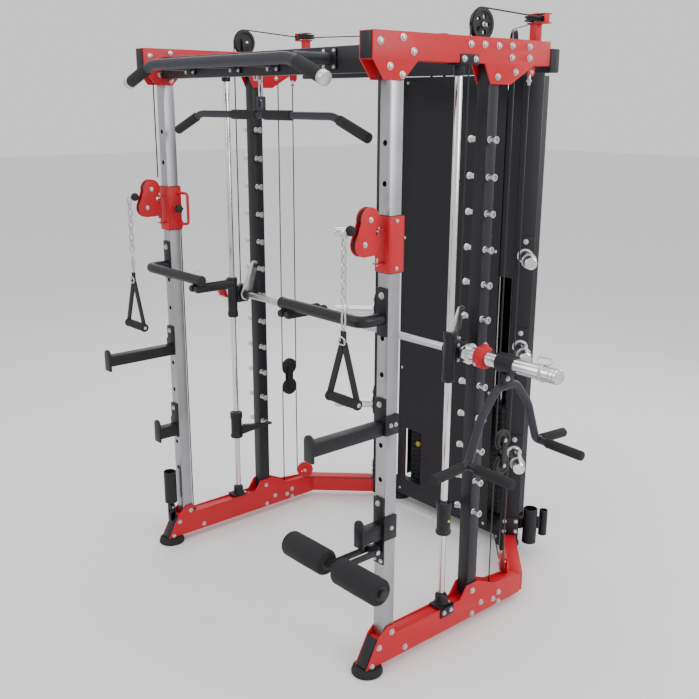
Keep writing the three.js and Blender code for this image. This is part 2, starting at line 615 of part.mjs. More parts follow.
// ---- bolt-on stations ---------------------------------------------------------------
function frontCrossbeam() {
  return cut(box(-(X_IN - PLATE - GAP), X_IN - PLATE - GAP, -5, 45, 1985, 2065),
    box(-(X_IN + 5), X_IN + 5, -5 + WALL, 45 - WALL, 1985 + WALL, 2065 - WALL));
}

function pullUpBar() {
  const half = [
    bentRod([[70, -10, 2028], [70, -167, 2028], [404, -167, 2028], [575, -171, 1966]], 19, 30),
    rod([404, -150, 2028], [404, -10, 2028], 18, 10),
    rod([440, -168, 2015], [560, -171, 1971.5], 21.5, 12),
    rod([560, -171, 1971.5], [582, -171.5, 1963.5], 23, 12),
    box(372, 436, -12, -5 - GAP, 1996, 2060),
  ];
  const right = join(half);
  return join(right, right.mirror([1, 0, 0]), box(-110, 110, -12, -5 - GAP, 1996, 2060));
}

function latBar() {
  const [y, z] = [20, 1856];
  const right = join(
    bentRod([[-1, y, z], [386, y, z], [556, y, z - 64]], 13, 30),
    rod([20, y, z], [175, y, z], 17, 10),
    rod([415, y, z - 11], [557, y, z - 64.5], 17, 10),
  );
  const plate = cut(box(-24, 24, y - 4, y + 4, z + 5, z + 62),
    box(-11, 11, y - 10, y + 10, z + 26, z + 50));
  return join(right, right.mirror([1, 0, 0]), plate,
    rod([0, y, z + 56], [0, y, z + 124], 6, 10));
}

function dipHandle() {
  const z = 1246;
  return join(
    box(X_IN + 2, X_OUT - 2, -7, -GAP, 1190, 1346),
    bentRod([[SIDE_X, -4, z], [SIDE_X + 2, -92, z], [255, -92, z]], 19, 40),
    rod([300, -112, z - 34], [300, 60, z - 34], 14, 12),
    rod([262, -112, z - 34], [262, 60, z - 34], 14, 12),
    box(252, 312, -104, -80, z - 40, z),
  );
}

function spotterArm() {
  return join(
    box(X_IN + 1, X_OUT - 1, -8, -GAP, 862, 985),
    box(X_IN + 4, X_OUT - 4, -296, -6, 862, 905),
    box(X_IN + 4, X_OUT - 4, -304, -294, 842, 930),
    box(X_OUT + GAP, X_OUT + 6, -8, 50, 862, 930),
    box(X_IN + 4, X_OUT + 6, -8, -GAP, 862, 930),
  );
}

function jCup() {
  return join(
    box(X_IN + 1, X_OUT - 1, -8, -GAP, 490, 640),
    box(X_IN + 4, X_OUT - 4, -88, -6, 496, 548),
    box(X_IN + 1, X_OUT - 1, -96, -86, 483, 578),
    box(X_OUT + GAP, X_OUT + 6, -8, 50, 490, 575),
    box(X_IN + 4, X_OUT + 6, -8, -GAP, 490, 575),
  );
}

// leg hold-down: a bracket on the right-hand upright and two flat arms to the axle
const ROLLER = [-203, 456];
function rollerArm() {
  const [y, z] = ROLLER;
  const arms = [-24, 18].map((d) => box(SIDE_X + d, SIDE_X + d + 6, y - 10, -20, z - 12, z + 12));
  const eyes = [-24, 18].map((d) => rod([SIDE_X + d, -30, z], [SIDE_X + d + 6, -30, z], 17, 12));
  return join(arms, eyes, rod([SIDE_X - 238, y, z], [SIDE_X + 238, y, z], 9, 12),
    rod([SIDE_X - 22, -30, z], [SIDE_X + 22, -30, z], 8, 12));
}

function foamRoller(from, to) {
  const [y, z] = ROLLER;
  return cut(rod([from, y, z], [to, y, z], 44, 24), rod([from - 5, y, z], [to + 5, y, z], 9.8, 12));
}

function rollerBracket() {
  return cut(join(
    box(X_IN + 1, X_OUT - 1, -6, 1, 400, 484),
    box(SIDE_X - 14, SIDE_X + 14, -44, -5, 438, 474),
  ), rod([SIDE_X - 30, -30, ROLLER[1]], [SIDE_X + 30, -30, ROLLER[1]], 9, 12));
}

// barbell socket on a fork hinge, standing on a stub of the left base beam
const LANDMINE = [-SIDE_X - 10, -38.5, 160];
function landmine() {
  const [x, y, z] = LANDMINE;
  return cut(join(
    rod([x, y, z + 24], [x, y, 330], 27, 12),
    box(x - 7, x + 7, y - 10, y + 10, z - 8, z + 30),
  ), rod([x, y, z + 36], [x, y, 340], 23, 12),
  rod([x - 20, y, z], [x + 20, y, z], 5.6, 10));
}

function landmineStub() {
  const [x, y, z] = LANDMINE;
  return join(
    box(x - 13, x - 7.5, y - 12, y + 12, z - 42, z + 12),
    box(x + 7.5, x + 13, y - 12, y + 12, z - 42, z + 12),
    box(x - 12, x + 12, y - 11, y + 11, z - 62, z - 24),
    rod([x - 14.5, y, z], [x + 14.5, y, z], 5, 10),
  );
}

function barHolder() {
  const [bx, by] = [470, 1066];
  const tubes = join(
    rod([bx, by, 58], [bx, by, 215], 30, 12),
    rod([bx + 26, by + 58, 85], [bx + 26, by + 58, 200], 18, 12),
    box(bx - 12, bx + 30, by + 18, by + 50, 120, 170),
    box(bx - 56, bx - 20, by - 42, by - 10, 120, 170),
  );
  return cut(tubes, rod([bx, by, 66], [bx, by, 230], 26, 12),
    rod([bx + 26, by + 58, 92], [bx + 26, by + 58, 210], 14.5, 12),
    onPostLine(-5, TUBE + GAP, 37.5 + GAP, 0, 400));
}

function weightStack() {
  const plates = box(STACK_X - 57, STACK_X + 57, 1083, 1190, 112, 609.5);
  const stem = rod([STACK_X, 1137, 600], [STACK_X, 1137, 700], 10, 10);
  const pin = rod([STACK_X, 1066, 309], [STACK_X, 1090, 309], 11, 10);
  const holes = [-38, 38].map((d) =>
    rod([STACK_X + d, 1137, 100], [STACK_X + d, 1137, 640], 9.5, 10));
  return cut(join(plates, stem, pin), holes);
}

// ---- build both sides ---------------------------------------------------------------
for (const [name, side] of SIDES) {
  const upright = side > 0 ? join(frontUpright(), rollerBracket()) : frontUpright();
  add(`${name}_front_upright`, sided(side, upright), STEEL);
  add(`${name}_rear_upright`, sided(side, rearUpright()), BLACK);
  add(`${name}_base_beam`, side > 0 ? baseBeam() : join(sided(side, baseBeam()),
    landmineStub()), RED);
  add(`${name}_top_beam`, sided(side, topBeam()), RED);
  add(`${name}_guide_rod`, sided(side, guideRod()), CHROME);
  add(`${name}_carriage`, sided(side, carriage()), BLACK);
  add(`${name}_safety_stop`, sided(side, safetyStop()), BLACK);
  add(`${name}_trolley`, sided(side, trolley()), RED);
  add(`${name}_swivel_bracket`, sided(side, swivelBracket()), RED);
  add(`${name}_pull_handle`, sided(side, pullHandle()), RUBBER);
  add(`${name}_floating_block`, sided(side, floatingBlock()), BLACK);
  add(`${name}_weight_stack`, sided(side, weightStack()), IRON);
  add(`${name}_crown_pulley`, sided(side,
    pulley([SIDE_X, 412, 2137], 'x', 48, 20, 7)), BLACK);
  add(`${name}_turn_pulley`, sided(side,
    pulley(TURN_PULLEY, 'z', 40, 16, 7)), BLACK);
  add(`${name}_dip_handle`, sided(side, dipHandle()), BLACK);
  add(`${name}_spotter_arm`, sided(side, spotterArm()), BLACK);
  add(`${name}_j_cup`, sided(side, jCup()), BLACK);
  add(`${name}_column_cable`, sided(side, columnCable()), CABLE);
  add(`${name}_return_cable`, sided(side, returnCable()), CABLE);
  add(`${name}_upper_loop`, sided(side, upperLoop()), CABLE);
  add(`${name}_lower_loop`, sided(side, lowerLoop()), CABLE);
  add(`${name}_smith_cable`, sided(side, smithCable()), CABLE);
  add(`${name}_counter_cable`, sided(side, counterCable()), CABLE);
}

add('front_crossbeam', frontCrossbeam(), BLACK);
add('tower_frame', towerFrame(), BLACK);
add('bar_holder', barHolder(), BLACK);
add('front_shroud', frontShroud(), BLACK);
add('rear_shroud', rearShroud(), BLACK);
add('pull_up_bar', pullUpBar(), IRON);
add('lat_bar', latBar(), IRON);
add('smith_bar', smithBar(), CHROME);
add('row_handle', rowHandle(), IRON);
add('roller_arm', rollerArm(), BLACK);
add('landmine_tube', landmine(), BLACK);
add('inner_foam_roller', foamRoller(SIDE_X - 225, SIDE_X - 30), RUBBER);
add('outer_foam_roller', foamRoller(SIDE_X + 30, SIDE_X + 225), RUBBER);

machine.position.y = -ORIGIN_Y;
export default machine;
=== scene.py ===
"""Dresses the smith machine's CAD frame with modelled, finished pieces.

Sizes are in millimetres with y = 0 at the front face of the front uprights, as in the CAD;
each solid is brought into the row frame, in metres, when it is made.
"""

import logging
import math
from dataclasses import dataclass
from enum import Enum
from typing import Iterable, Optional, Sequence, Union

import bmesh
import bpy
from mathutils import Matrix, Vector

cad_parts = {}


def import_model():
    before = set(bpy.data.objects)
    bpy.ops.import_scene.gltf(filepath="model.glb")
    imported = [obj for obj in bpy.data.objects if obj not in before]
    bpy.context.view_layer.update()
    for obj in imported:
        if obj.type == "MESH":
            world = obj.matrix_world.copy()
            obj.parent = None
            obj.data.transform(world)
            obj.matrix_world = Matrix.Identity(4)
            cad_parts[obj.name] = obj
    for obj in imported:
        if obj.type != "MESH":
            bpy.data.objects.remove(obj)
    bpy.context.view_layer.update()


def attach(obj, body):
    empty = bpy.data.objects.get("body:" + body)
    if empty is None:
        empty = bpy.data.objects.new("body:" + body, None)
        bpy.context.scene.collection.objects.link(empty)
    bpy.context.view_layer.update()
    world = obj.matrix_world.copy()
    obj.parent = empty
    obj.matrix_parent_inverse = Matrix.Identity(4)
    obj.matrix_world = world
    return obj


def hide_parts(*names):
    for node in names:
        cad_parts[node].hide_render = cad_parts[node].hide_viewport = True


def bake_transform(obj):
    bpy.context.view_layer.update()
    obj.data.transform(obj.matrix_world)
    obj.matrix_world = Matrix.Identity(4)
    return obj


LOG = logging.getLogger("smith_machine")
Point = Sequence[float]
ORIGIN_Y = 449.0
SIDE_X, TUBE = 650.0, 50.0
X_IN, X_OUT = SIDE_X - TUBE / 2, SIDE_X + TUBE / 2
BASE_LOW, TOP_LOW, TOP_HIGH = 27.0, 2018.0, 2098.0
PEG_TOP, PEG_PITCH, PEG_ROWS, PEG_Y = 1783.0, 120.0, 12, 444.0
BAR_Y, BAR_Z, ROD_Y = 360.0, 1080.0, 315.0
TROLLEY_Z, BLOCK_Y, BLOCK_Z = 1480.0, 625.0, 640.0
TURN, CROWN = (623.0, 720.0, 2172.0), (650.0, 412.0, 2137.0)
TOWER_WHEEL, BRACE_WHEEL = (191.0, 1138.4, 2134.0), (621.5, 693.5, 153.0)
POST_FACE = (432.0, 977.0)
WRAP = math.radians(50)
FRAME = "machine_frame"
X, Y, Z = (1.0, 0.0, 0.0), (0.0, 1.0, 0.0), (0.0, 0.0, 1.0)


# ---- shading ------------------------------------------------------------------------
class Value:
    """A shader socket that takes part in plain arithmetic."""

    def __init__(self, graph: "Graph", socket: bpy.types.NodeSocket) -> None:
        """Wraps a socket.

        Args:
            graph: The graph that the socket is in.
            socket: The output socket.
        """
        self.graph, self.socket = graph, socket

    def __add__(self, other: "Number") -> "Value":
        """Adds a value or a number.

        Args:
            other: What is added.

        Returns:
            The sum.
        """
        return self.graph.math("ADD", self, other)

    def __sub__(self, other: "Number") -> "Value":
        """Takes a value or a number away.

        Args:
            other: What is taken away.

        Returns:
            The difference.
        """
        return self.graph.math("SUBTRACT", self, other)

    def __rsub__(self, other: "Number") -> "Value":
        """Takes this away from a number.

        Args:
            other: What this is taken away from.

        Returns:
            The difference.
        """
        return self.graph.math("SUBTRACT", other, self)

    def __mul__(self, other: "Number") -> "Value":
        """Multiplies by a value or a number.

        Args:
            other: The factor.

        Returns:
            The product.
        """
        return self.graph.math("MULTIPLY", self, other)

    __radd__ = __add__
    __rmul__ = __mul__


Number = Union[Value, float]


class Graph:
    """The node tree of one material."""

    def __init__(self, name: str) -> None:
        """Makes an empty material.

        Args:
            name: The material's name.
        """
        self.material = bpy.data.materials.new(name)
        self.material.use_nodes = True
        self.tree = self.material.node_tree
        self.shader = self.tree.nodes["Principled BSDF"]

    def put(self, socket: bpy.types.NodeSocket, value: object) -> None:
        """Links a value to a socket, or sets the socket's own number or colour.

        Args:
            socket: The socket.
            value: A value to link, or a number or colour to set.
        """
        if isinstance(value, Value):
            self.tree.links.new(value.socket, socket)
        else:
            socket.default_value = value

    def node(self, kind: str, settings: Optional[dict] = None, out: int = 0,
             **inputs: object) -> Value:
        """Adds a node.

        Args:
            kind: The node's type.
            settings: Its properties.
            out: Which output is wanted.
            **inputs: Its inputs by name, or by number after an underscore.

        Returns:
            The wanted output.
        """
        node = self.tree.nodes.new(kind)
        for key, value in (settings or {}).items():
            setattr(node, key, value)
        for key, value in inputs.items():
            name = int(key[1:]) if key.startswith("_") else key
            self.put(node.inputs[name], value)
        return Value(self, node.outputs[out])

    def math(self, operation: str, a: Number, b: Number) -> Value:
        """One arithmetic node.

        Args:
            operation: The node's operation.
            a: The first term.
            b: The second term.

        Returns:
            The result.
        """
        return self.node("ShaderNodeMath", {"operation": operation}, _0=a, _1=b)

    def stretched(self, scale: Point) -> Value:
        """Object coordinates, scaled along each axis.

        Args:
            scale: The scale along x, y and z.

        Returns:
            The coordinates.
        """
        place = self.node("ShaderNodeTexCoord", out=3)
        return self.node("ShaderNodeVectorMath", {"operation": "MULTIPLY"}, _0=place,
                         _1=tuple(scale))

    def noise(self, scale: Point, detail: float = 3.0) -> Value:
        """Noise from 0 to 1 over scaled object coordinates.

        Args:
            scale: The scale along x, y and z.
            detail: How many finer layers it has.

        Returns:
            The noise.
        """
        return self.node("ShaderNodeTexNoise", Vector=self.stretched(scale), Scale=1.0,
                         Detail=detail)

    def blend(self, factor: Number, a: Point, b: Point) -> Value:
        """A mix of two colours.

        Args:
            factor: 0 for the first colour, 1 for the second.
            a: The first colour.
            b: The second colour.

        Returns:
            The mixed colour.
        """
        return self.node("ShaderNodeMix", {"data_type": "RGBA"}, 2, _0=factor,
                         _6=(*a, 1.0), _7=(*b, 1.0))


class Grain(Enum):
    """Which small structure a finish has: scale along x, y, z and depth of its bump."""

    PEEL = ((520, 520, 520), 0.10)
    BRUSH_Z = ((1500, 1500, 14), 0.10)
    BRUSH_X = ((14, 1500, 1500), 0.06)
    POLISH = ((160, 160, 160), 0.015)
    FOAM = ((900, 900, 900), 0.55)
    HAMMER = ((420, 420, 420), 0.45)
    CAST = ((260, 260, 260), 0.4)
    BRAID = ((60, 60, 900), 0.3)


@dataclass(frozen=True)
class Finish:
    """One surface finish."""

    name: str
    slot: str
    color: tuple[float, float, float]
    roughness: float
    metallic: float = 0.0
    coat: float = 0.0
    grain: Grain = Grain.PEEL
    wear: float = 0.12

    def material(self) -> bpy.types.Material:
        """The finish as a material, made once.

        Returns:
            The material.
        """
        made = bpy.data.materials.get(self.name)
        if made:
            return made
        graph = Graph(self.name)
        scale, depth = self.grain.value
        fine, broad = graph.noise(scale), graph.noise((9, 9, 9), 4.0)
        dust = graph.noise((38, 38, 22), 5.0)
        darker = tuple(c * (1 - self.wear) for c in self.color)
        lighter = tuple(min(1.0, c * (1 + self.wear) + 0.004) for c in self.color)
        graph.put(graph.shader.inputs["Base Color"],
                  graph.blend(broad * 0.6 + fine * 0.4, darker, lighter))
        rough = self.roughness * 0.86 + (broad * 0.12 + dust * 0.1 + fine * 0.06)
        graph.put(graph.shader.inputs["Roughness"], rough)
        graph.put(graph.shader.inputs["Metallic"], self.metallic)
        graph.put(graph.shader.inputs["Coat Weight"], self.coat)
        graph.put(graph.shader.inputs["Coat Roughness"], 0.12)
        graph.put(graph.shader.inputs["Specular IOR Level"], 0.34)
        bump = graph.node("ShaderNodeBump", Height=fine, Strength=depth, Distance=0.0006)
        graph.put(graph.shader.inputs["Normal"], bump)
        return graph.material


RED = Finish("red_coat", "red_paint", (0.52, 0.005, 0.014), 0.40, coat=0.1, wear=0.08)
BLACK = Finish("black_coat", "black_paint", (0.006, 0.006, 0.010), 0.38, coat=0.05, wear=0.2)
SHEET = Finish("sheet_coat", "black_paint", (0.007, 0.007, 0.011), 0.44, wear=0.14)
STEEL = Finish("brushed_tube", "bright_steel", (0.40, 0.40, 0.42), 0.28, 1.0,
               grain=Grain.BRUSH_Z, wear=0.34)
CHROME = Finish("chrome_plate", "chrome", (0.74, 0.74, 0.76), 0.06, 1.0, grain=Grain.POLISH,
                wear=0.04)
BAR = Finish("bar_steel", "chrome", (0.55, 0.56, 0.58), 0.2, 1.0, grain=Grain.BRUSH_X)
ZINC = Finish("zinc", "chrome", (0.60, 0.60, 0.60), 0.24, 1.0, grain=Grain.POLISH)
IRON = Finish("cast_plate", "iron", (0.030, 0.030, 0.034), 0.55, 0.2, grain=Grain.CAST)
TEXTURED = Finish("textured_coat", "textured_grip", (0.028, 0.029, 0.038), 0.38, 0.2,
                  grain=Grain.HAMMER)
FOAM = Finish("foam", "rubber", (0.014, 0.014, 0.016), 0.78, grain=Grain.FOAM, wear=0.3)
RUBBER = Finish("rubber", "rubber", (0.012, 0.012, 0.013), 0.6, grain=Grain.CAST)
PLASTIC = Finish("black_nylon", "black_plastic", (0.016, 0.016, 0.018), 0.38)
YELLOW = Finish("yellow_knob", "black_plastic", (0.72, 0.50, 0.03), 0.35)
JACKET = Finish("cable_coat", "cable_jacket", (0.012, 0.012, 0.014), 0.3, coat=0.3)
WEBBING = Finish("webbing", "rubber", (0.016, 0.016, 0.018), 0.7, grain=Grain.BRAID, wear=0.3)


# ---- solids -------------------------------------------------------------------------
def turned(way: Point) -> Matrix:
    """A turn that brings the z axis to a direction.

    Args:
        way: The direction.

    Returns:
        The turn.
    """
    return Vector(way).to_track_quat("Z", "Y").to_matrix().to_4x4()


def arc(at: Point, radius: float, start: float, end: float, steps: int = 10) -> list[Vector]:
    """Points round a centre in the yz plane, degrees from +y towards +z.

    Args:
        at: The centre.
        radius: The radius.
        start: The first angle.
        end: The last angle.
        steps: How many steps it has.

    Returns:
        The points, first and last included.
    """
    angles = [math.radians(start + (end - start) * i / steps) for i in range(steps + 1)]
    return [Vector(at) + Vector((0, radius * math.cos(a), radius * math.sin(a)))
            for a in angles]


class Solid:
    """Collects parts of several finishes into one mesh piece."""

    def __init__(self, name: str, side: int = 1, pose: Matrix = Matrix.Identity(4)) -> None:
        """Starts an empty piece.

        Args:
            name: The piece's name.
            side: 1 on the right, -1 to mirror it to the left.
            pose: Where its parts stand, in millimetres.
        """
        self.name, self.side, self.pose = name, side, pose
        self.mesh, self.finishes = bmesh.new(), []

    def _take(self, part: bmesh.types.BMesh, finish: Finish, at: Matrix) -> None:
        """Adds a finished part and lets go of it.

        Args:
            part: The part.
            finish: Its finish.
            at: Where it stands within the piece.
        """
        if finish not in self.finishes:
            self.finishes.append(finish)
        for face in part.faces:
            face.material_index = self.finishes.index(finish)
            face.smooth = True
        scale = Matrix.Diagonal((self.side / 1000, 0.001, 0.001, 1))
        part.transform(scale @ Matrix.Translation((0, -ORIGIN_Y, 0)) @ self.pose @ at)
        bmesh.ops.recalc_face_normals(part, faces=part.faces[:])
        store = bpy.data.meshes.new("part")
        part.to_mesh(store)
        self.mesh.from_mesh(store)
        bpy.data.meshes.remove(store)
        part.free()

    @staticmethod
    def _round(part: bmesh.types.BMesh, edges: Iterable, size: float, segments: int = 2) -> None:
        """Bevels edges.

        Args:
            part: The part.
            edges: The edges to bevel.
            size: The width of the bevel.
            segments: How many faces it has.
        """
        if size > 0:
            bmesh.ops.bevel(part, geom=list(edges), offset=size, segments=segments,
                            profile=0.5, affect="EDGES", material=-1)

    def box(self, finish: Finish, x0: float, x1: float, y0: float, y1: float, z0: float,
            z1: float, bevel: float = 1.5, at: Matrix = Matrix.Identity(4)) -> "Solid":
        """A block with eased edges.

        Args:
            finish: The finish of the part.
            x0: Its lowest x.
            x1: Its highest x.
            y0: Its lowest y.
            y1: Its highest y.
            z0: Its lowest z.
            z1: Its highest z.
            bevel: How far its edges are eased.
            at: Where the part stands within the piece.

        Returns:
            This solid.
        """
        part = bmesh.new()
        middle = Matrix.Translation(((x0 + x1) / 2, (y0 + y1) / 2, (z0 + z1) / 2))
        size = Matrix.Diagonal((x1 - x0, y1 - y0, z1 - z0, 1))
        bmesh.ops.create_cube(part, size=1, matrix=middle @ size)
        self._round(part, part.edges, min(bevel, (x1 - x0) / 3, (y1 - y0) / 3, (z1 - z0) / 3))
        self._take(part, finish, at)
        return self

    def bar(self, finish: Finish, a: Point, b: Point, width: float, depth: float,
            bevel: float = 1.5) -> "Solid":
        """A flat bar from a to b.

        Args:
            finish: The finish of the part.
            a: Where it starts.
            b: Where it ends.
            width: Its width.
            depth: Its depth.
            bevel: How far its edges are eased.

        Returns:
            This solid.
        """
        start, end = Vector(a), Vector(b)
        at = Matrix.Translation(start) @ turned(end - start)
        return self.box(finish, -width / 2, width / 2, -depth / 2, depth / 2, 0,
                        (end - start).length, bevel, at)

    def rod(self, finish: Finish, a: Point, b: Point, radius: float,
            end_radius: Optional[float] = None, sides: int = 32, bevel: float = 1.2) -> "Solid":
        """A round bar from a to b with eased rims.

        Args:
            finish: The finish of the part.
            a: Where it starts.
            b: Where it ends.
            radius: Its radius.
            end_radius: Its radius at b, where that differs.
            sides: How many sides it has.
            bevel: How far its edges are eased.

        Returns:
            This solid.
        """
        start, end = Vector(a), Vector(b)
        length = (end - start).length
        part = bmesh.new()
        bmesh.ops.create_cone(part, cap_ends=True, segments=sides, radius1=radius,
                              radius2=radius if end_radius is None else end_radius, depth=length,
                              matrix=Matrix.Translation((0, 0, length / 2)))
        rims = [e for e in part.edges if any(len(f.verts) == sides for f in e.link_faces)]
        self._round(part, rims if sides > 4 else [], min(bevel, length / 3, radius / 3))
        self._take(part, finish, Matrix.Translation(start) @ turned(end - start))
        return self

    def plate(self, finish: Finish, outline: Iterable[Point], x0: float, x1: float,
              bevel: float = 1.2, at: Matrix = Matrix.Identity(4)) -> "Solid":
        """A plate drawn as (y, z) points, standing across x.

        Args:
            finish: The finish of the part.
            outline: Its corners, in order.
            x0: Its lowest x.
            x1: Its highest x.
            bevel: How far its edges are eased.
            at: Where the part stands within the piece.

        Returns:
            This solid.
        """
        part = bmesh.new()
        corners = [part.verts.new((x0, y, z)) for y, z in outline]
        grown = bmesh.ops.extrude_face_region(part, geom=[part.faces.new(corners)])["geom"]
        moved = [v for v in grown if isinstance(v, bmesh.types.BMVert)]
        bmesh.ops.translate(part, verts=moved, vec=(x1 - x0, 0, 0))
        rims = [e for e in part.edges if any(len(f.verts) == len(corners) for f in e.link_faces)]
        self._round(part, rims, min(bevel, (x1 - x0) / 3))
        self._take(part, finish, at)
        return self

    def spin(self, finish: Finish, profile: Iterable[tuple[float, float]], at: Point,
             way: Point = Z, steps: int = 40) -> "Solid":
        """A turned part: (radius, along) pairs about an axis through a point.

        Args:
            finish: The finish of the part.
            profile: The pairs, in order.
            at: A point on the axis.
            way: The direction of the axis.
            steps: How many steps the turn has.

        Returns:
            This solid.
        """
        part = bmesh.new()
        verts = [part.verts.new((r, 0, h)) for r, h in profile]
        edges = [part.edges.new(pair) for pair in zip(verts, verts[1:])]
        bmesh.ops.spin(part, geom=verts + edges, cent=(0, 0, 0), axis=(0, 0, 1),
                       angle=math.tau, steps=steps, use_merge=True)
        bmesh.ops.remove_doubles(part, verts=part.verts[:], dist=1e-4)
        self._take(part, finish, Matrix.Translation(Vector(at)) @ turned(way))
        return self

    def tube(self, finish: Finish, points: Iterable[Point], radius: float, bend: float = 0,
             closed: bool = False, around: int = 5) -> "Solid":
        """A round tube through points, with round bends.

        Args:
            finish: Its finish.
            points: The corners it runs through.
            radius: Its radius.
            bend: How far before and after a corner it starts to turn.
            closed: Whether it runs back to its start.
            around: The curve's bevel resolution.

        Returns:
            This solid.
        """
        at = [Vector(p) for p in points]
        track = [at[0]] if bend else at
        for back, corner, on in zip(at, at[1:], at[2:]) if bend else ():
            a = corner + (back - corner).normalized() * bend
            b = corner + (on - corner).normalized() * bend
            track += [a.lerp(corner, t).lerp(corner.lerp(b, t), t)
                      for t in (0, 0.14, 0.28, 0.42, 0.58, 0.72, 0.86, 1)]
        track = track + [at[-1]] if bend else track
        curve = bpy.data.curves.new("run", "CURVE")
        curve.dimensions, curve.bevel_depth, curve.bevel_resolution = "3D", radius, around
        curve.use_fill_caps = True
        spline = curve.splines.new("POLY")
        spline.points.add(len(track) - 1)
        spline.use_cyclic_u = closed
        for slot, place in zip(spline.points, track):
            slot.co = (*place, 1.0)
        holder = bpy.data.objects.new("run", curve)
        store = bpy.data.meshes.new_from_object(holder)
        part = bmesh.new()
        part.from_mesh(store)
        bmesh.ops.remove_doubles(part, verts=part.verts[:], dist=1e-3)
        bpy.data.objects.remove(holder)
        bpy.data.curves.remove(curve)
        bpy.data.meshes.remove(store)
        self._take(part, finish, Matrix.Identity(4))
        return self

    def bolt(self, at: Point, way: Point, radius: float = 9.0) -> "Solid":
        """A hexagon bolt head on its washer.

        Args:
            at: Where its washer lies.
            way: The direction it points in.
            radius: The radius of its head.

        Returns:
            This solid.
        """
        start, step = Vector(at), Vector(way).normalized()
        self.rod(ZINC, start - step, start + step * 1.6, radius * 1.28, bevel=0.5, sides=24)
        self.rod(ZINC, start + step * 1.4, start + step * (1.6 + radius * 0.6), radius,
                 sides=6, bevel=radius * 0.14)
        return self.rod(ZINC, start + step * 2, start + step * (2.4 + radius * 0.6),
                        radius * 0.62, bevel=0.8, sides=20)

    def wheel(self, at: Point, way: Point, radius: float, width: float,
              finish: Finish = PLASTIC) -> "Solid":
        """A grooved cable wheel with five round windows and a steel hub.

        Args:
            at: Its centre.
            way: The direction of its axle.
            radius: Its radius.
            width: Its width.
            finish: The finish of the part.

        Returns:
            This solid.
        """
        pose = self.pose @ Matrix.Translation(Vector(at)) @ turned(way)
        half, rim = width / 2, radius - width * 0.42
        disc = Solid("wheel", self.side, pose).spin(finish, [
            (5, -half), (11, -half), (13, -half * 0.55), (rim - 6, -half * 0.5), (rim - 3, -half),
            (radius - 1, -half), (radius, -half * 0.8), (rim + 1, -1.5), (rim + 1, 1.5),
            (radius, half * 0.8), (radius - 1, half), (rim - 3, half), (rim - 6, half * 0.5),
            (13, half * 0.55), (11, half), (5, half), (5, -half)], (0, 0, 0), steps=48)
        holes, ring = Solid("holes", self.side, pose), (rim + 7) / 2
        for i in range(5):
            x, y = ring * math.cos(i * math.tau / 5), ring * math.sin(i * math.tau / 5)
            holes.rod(finish, (x, y, -width), (x, y, width), (rim - 19) * 0.36, bevel=0,
                      sides=20)
        disc.bore(holes)
        self.join(disc)
        kept, self.pose = self.pose, pose
        self.rod(ZINC, (0, 0, -half - 1.5), (0, 0, half + 1.5), 8, sides=6, bevel=1)
        self.rod(ZINC, (0, 0, -half - 3), (0, 0, half + 3), 5, sides=20)
        self.pose = kept
        return self

    def join(self, other: "Solid") -> None:
        """Takes in another solid, finishes and all.

        Args:
            other: The solid that is taken in.
        """
        for finish in other.finishes:
            if finish not in self.finishes:
                self.finishes.append(finish)
        for face in other.mesh.faces:
            face.material_index = self.finishes.index(other.finishes[face.material_index])
        store = bpy.data.meshes.new("part")
        other.mesh.to_mesh(store)
        self.mesh.from_mesh(store)
        bpy.data.meshes.remove(store)
        other.mesh.free()

    def _object(self) -> bpy.types.Object:
        """The solid as an object in the scene.

        Returns:
            The object, not yet bound to a body.
        """
        mesh = bpy.data.meshes.new(self.name)
        self.mesh.to_mesh(mesh)
        for finish in self.finishes:
            mesh.materials.append(finish.material())
        made = bpy.data.objects.new(self.name, mesh)
        bpy.context.scene.collection.objects.link(made)
        return made

    def bore(self, tool: "Solid") -> "Solid":
        """Takes the tool's volume out of this solid.

        Args:
            tool: The solid that is taken out.

        Returns:
            This solid.
        """
        body, cutter = self._object(), tool._object()
        modifier = body.modifiers.new("bore", "BOOLEAN")
        modifier.object, modifier.solver = cutter, "EXACT"
        graph = bpy.context.evaluated_depsgraph_get()
        store = bpy.data.meshes.new_from_object(body.evaluated_get(graph))
        self.mesh.clear()
        self.mesh.from_mesh(store)
        for used in (body, cutter):
            bpy.data.objects.remove(used)
        bpy.data.meshes.remove(store)
        return self

    def sink(self, area: float, depth: float, finish: Finish) -> None:
        """Pushes the round faces of one area on the front back, as blind bores.

        Args:
            area: Their area.
            depth: How deep the bores are.
            finish: The finish inside them; the front uprights pass near-black rubber, a painted
                shade for the dark inside of the holes.
        """
        self.mesh.normal_update()
        discs = [f for f in self.mesh.faces if abs(f.calc_area() * 1e6 - area) < 4
                 and len(f.verts) > 20]
        self.finishes.append(finish)
        grown = bmesh.ops.extrude_face_region(self.mesh, geom=discs)["geom"]
        ends = [v for v in grown if isinstance(v, bmesh.types.BMVert)]
        bmesh.ops.translate(self.mesh, vec=(0, depth / 1000, 0), verts=ends)
        bmesh.ops.delete(self.mesh, geom=[f for f in discs if f.is_valid],
                         context="FACES_ONLY")
        for face in {f for v in ends for f in v.link_faces}:
            face.material_index = len(self.finishes) - 1

    def made(self, body: str, *nodes: str) -> bpy.types.Object:
        """Turns the solid into a piece that rides on a body and stands for CAD nodes.

        Args:
            body: The CAD body, or an empty name for a piece that is left unbound.
            *nodes: The CAD nodes that it replaces.

        Returns:
            The piece.
        """
        piece = self._object()
        self.mesh.free()
        piece.data.set_sharp_from_angle(angle=math.radians(28))
        if body:
            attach(piece, body)
        if nodes:
            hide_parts(*nodes)
        LOG.info("%s: %d faces", self.name, len(piece.data.polygons))
        return piece


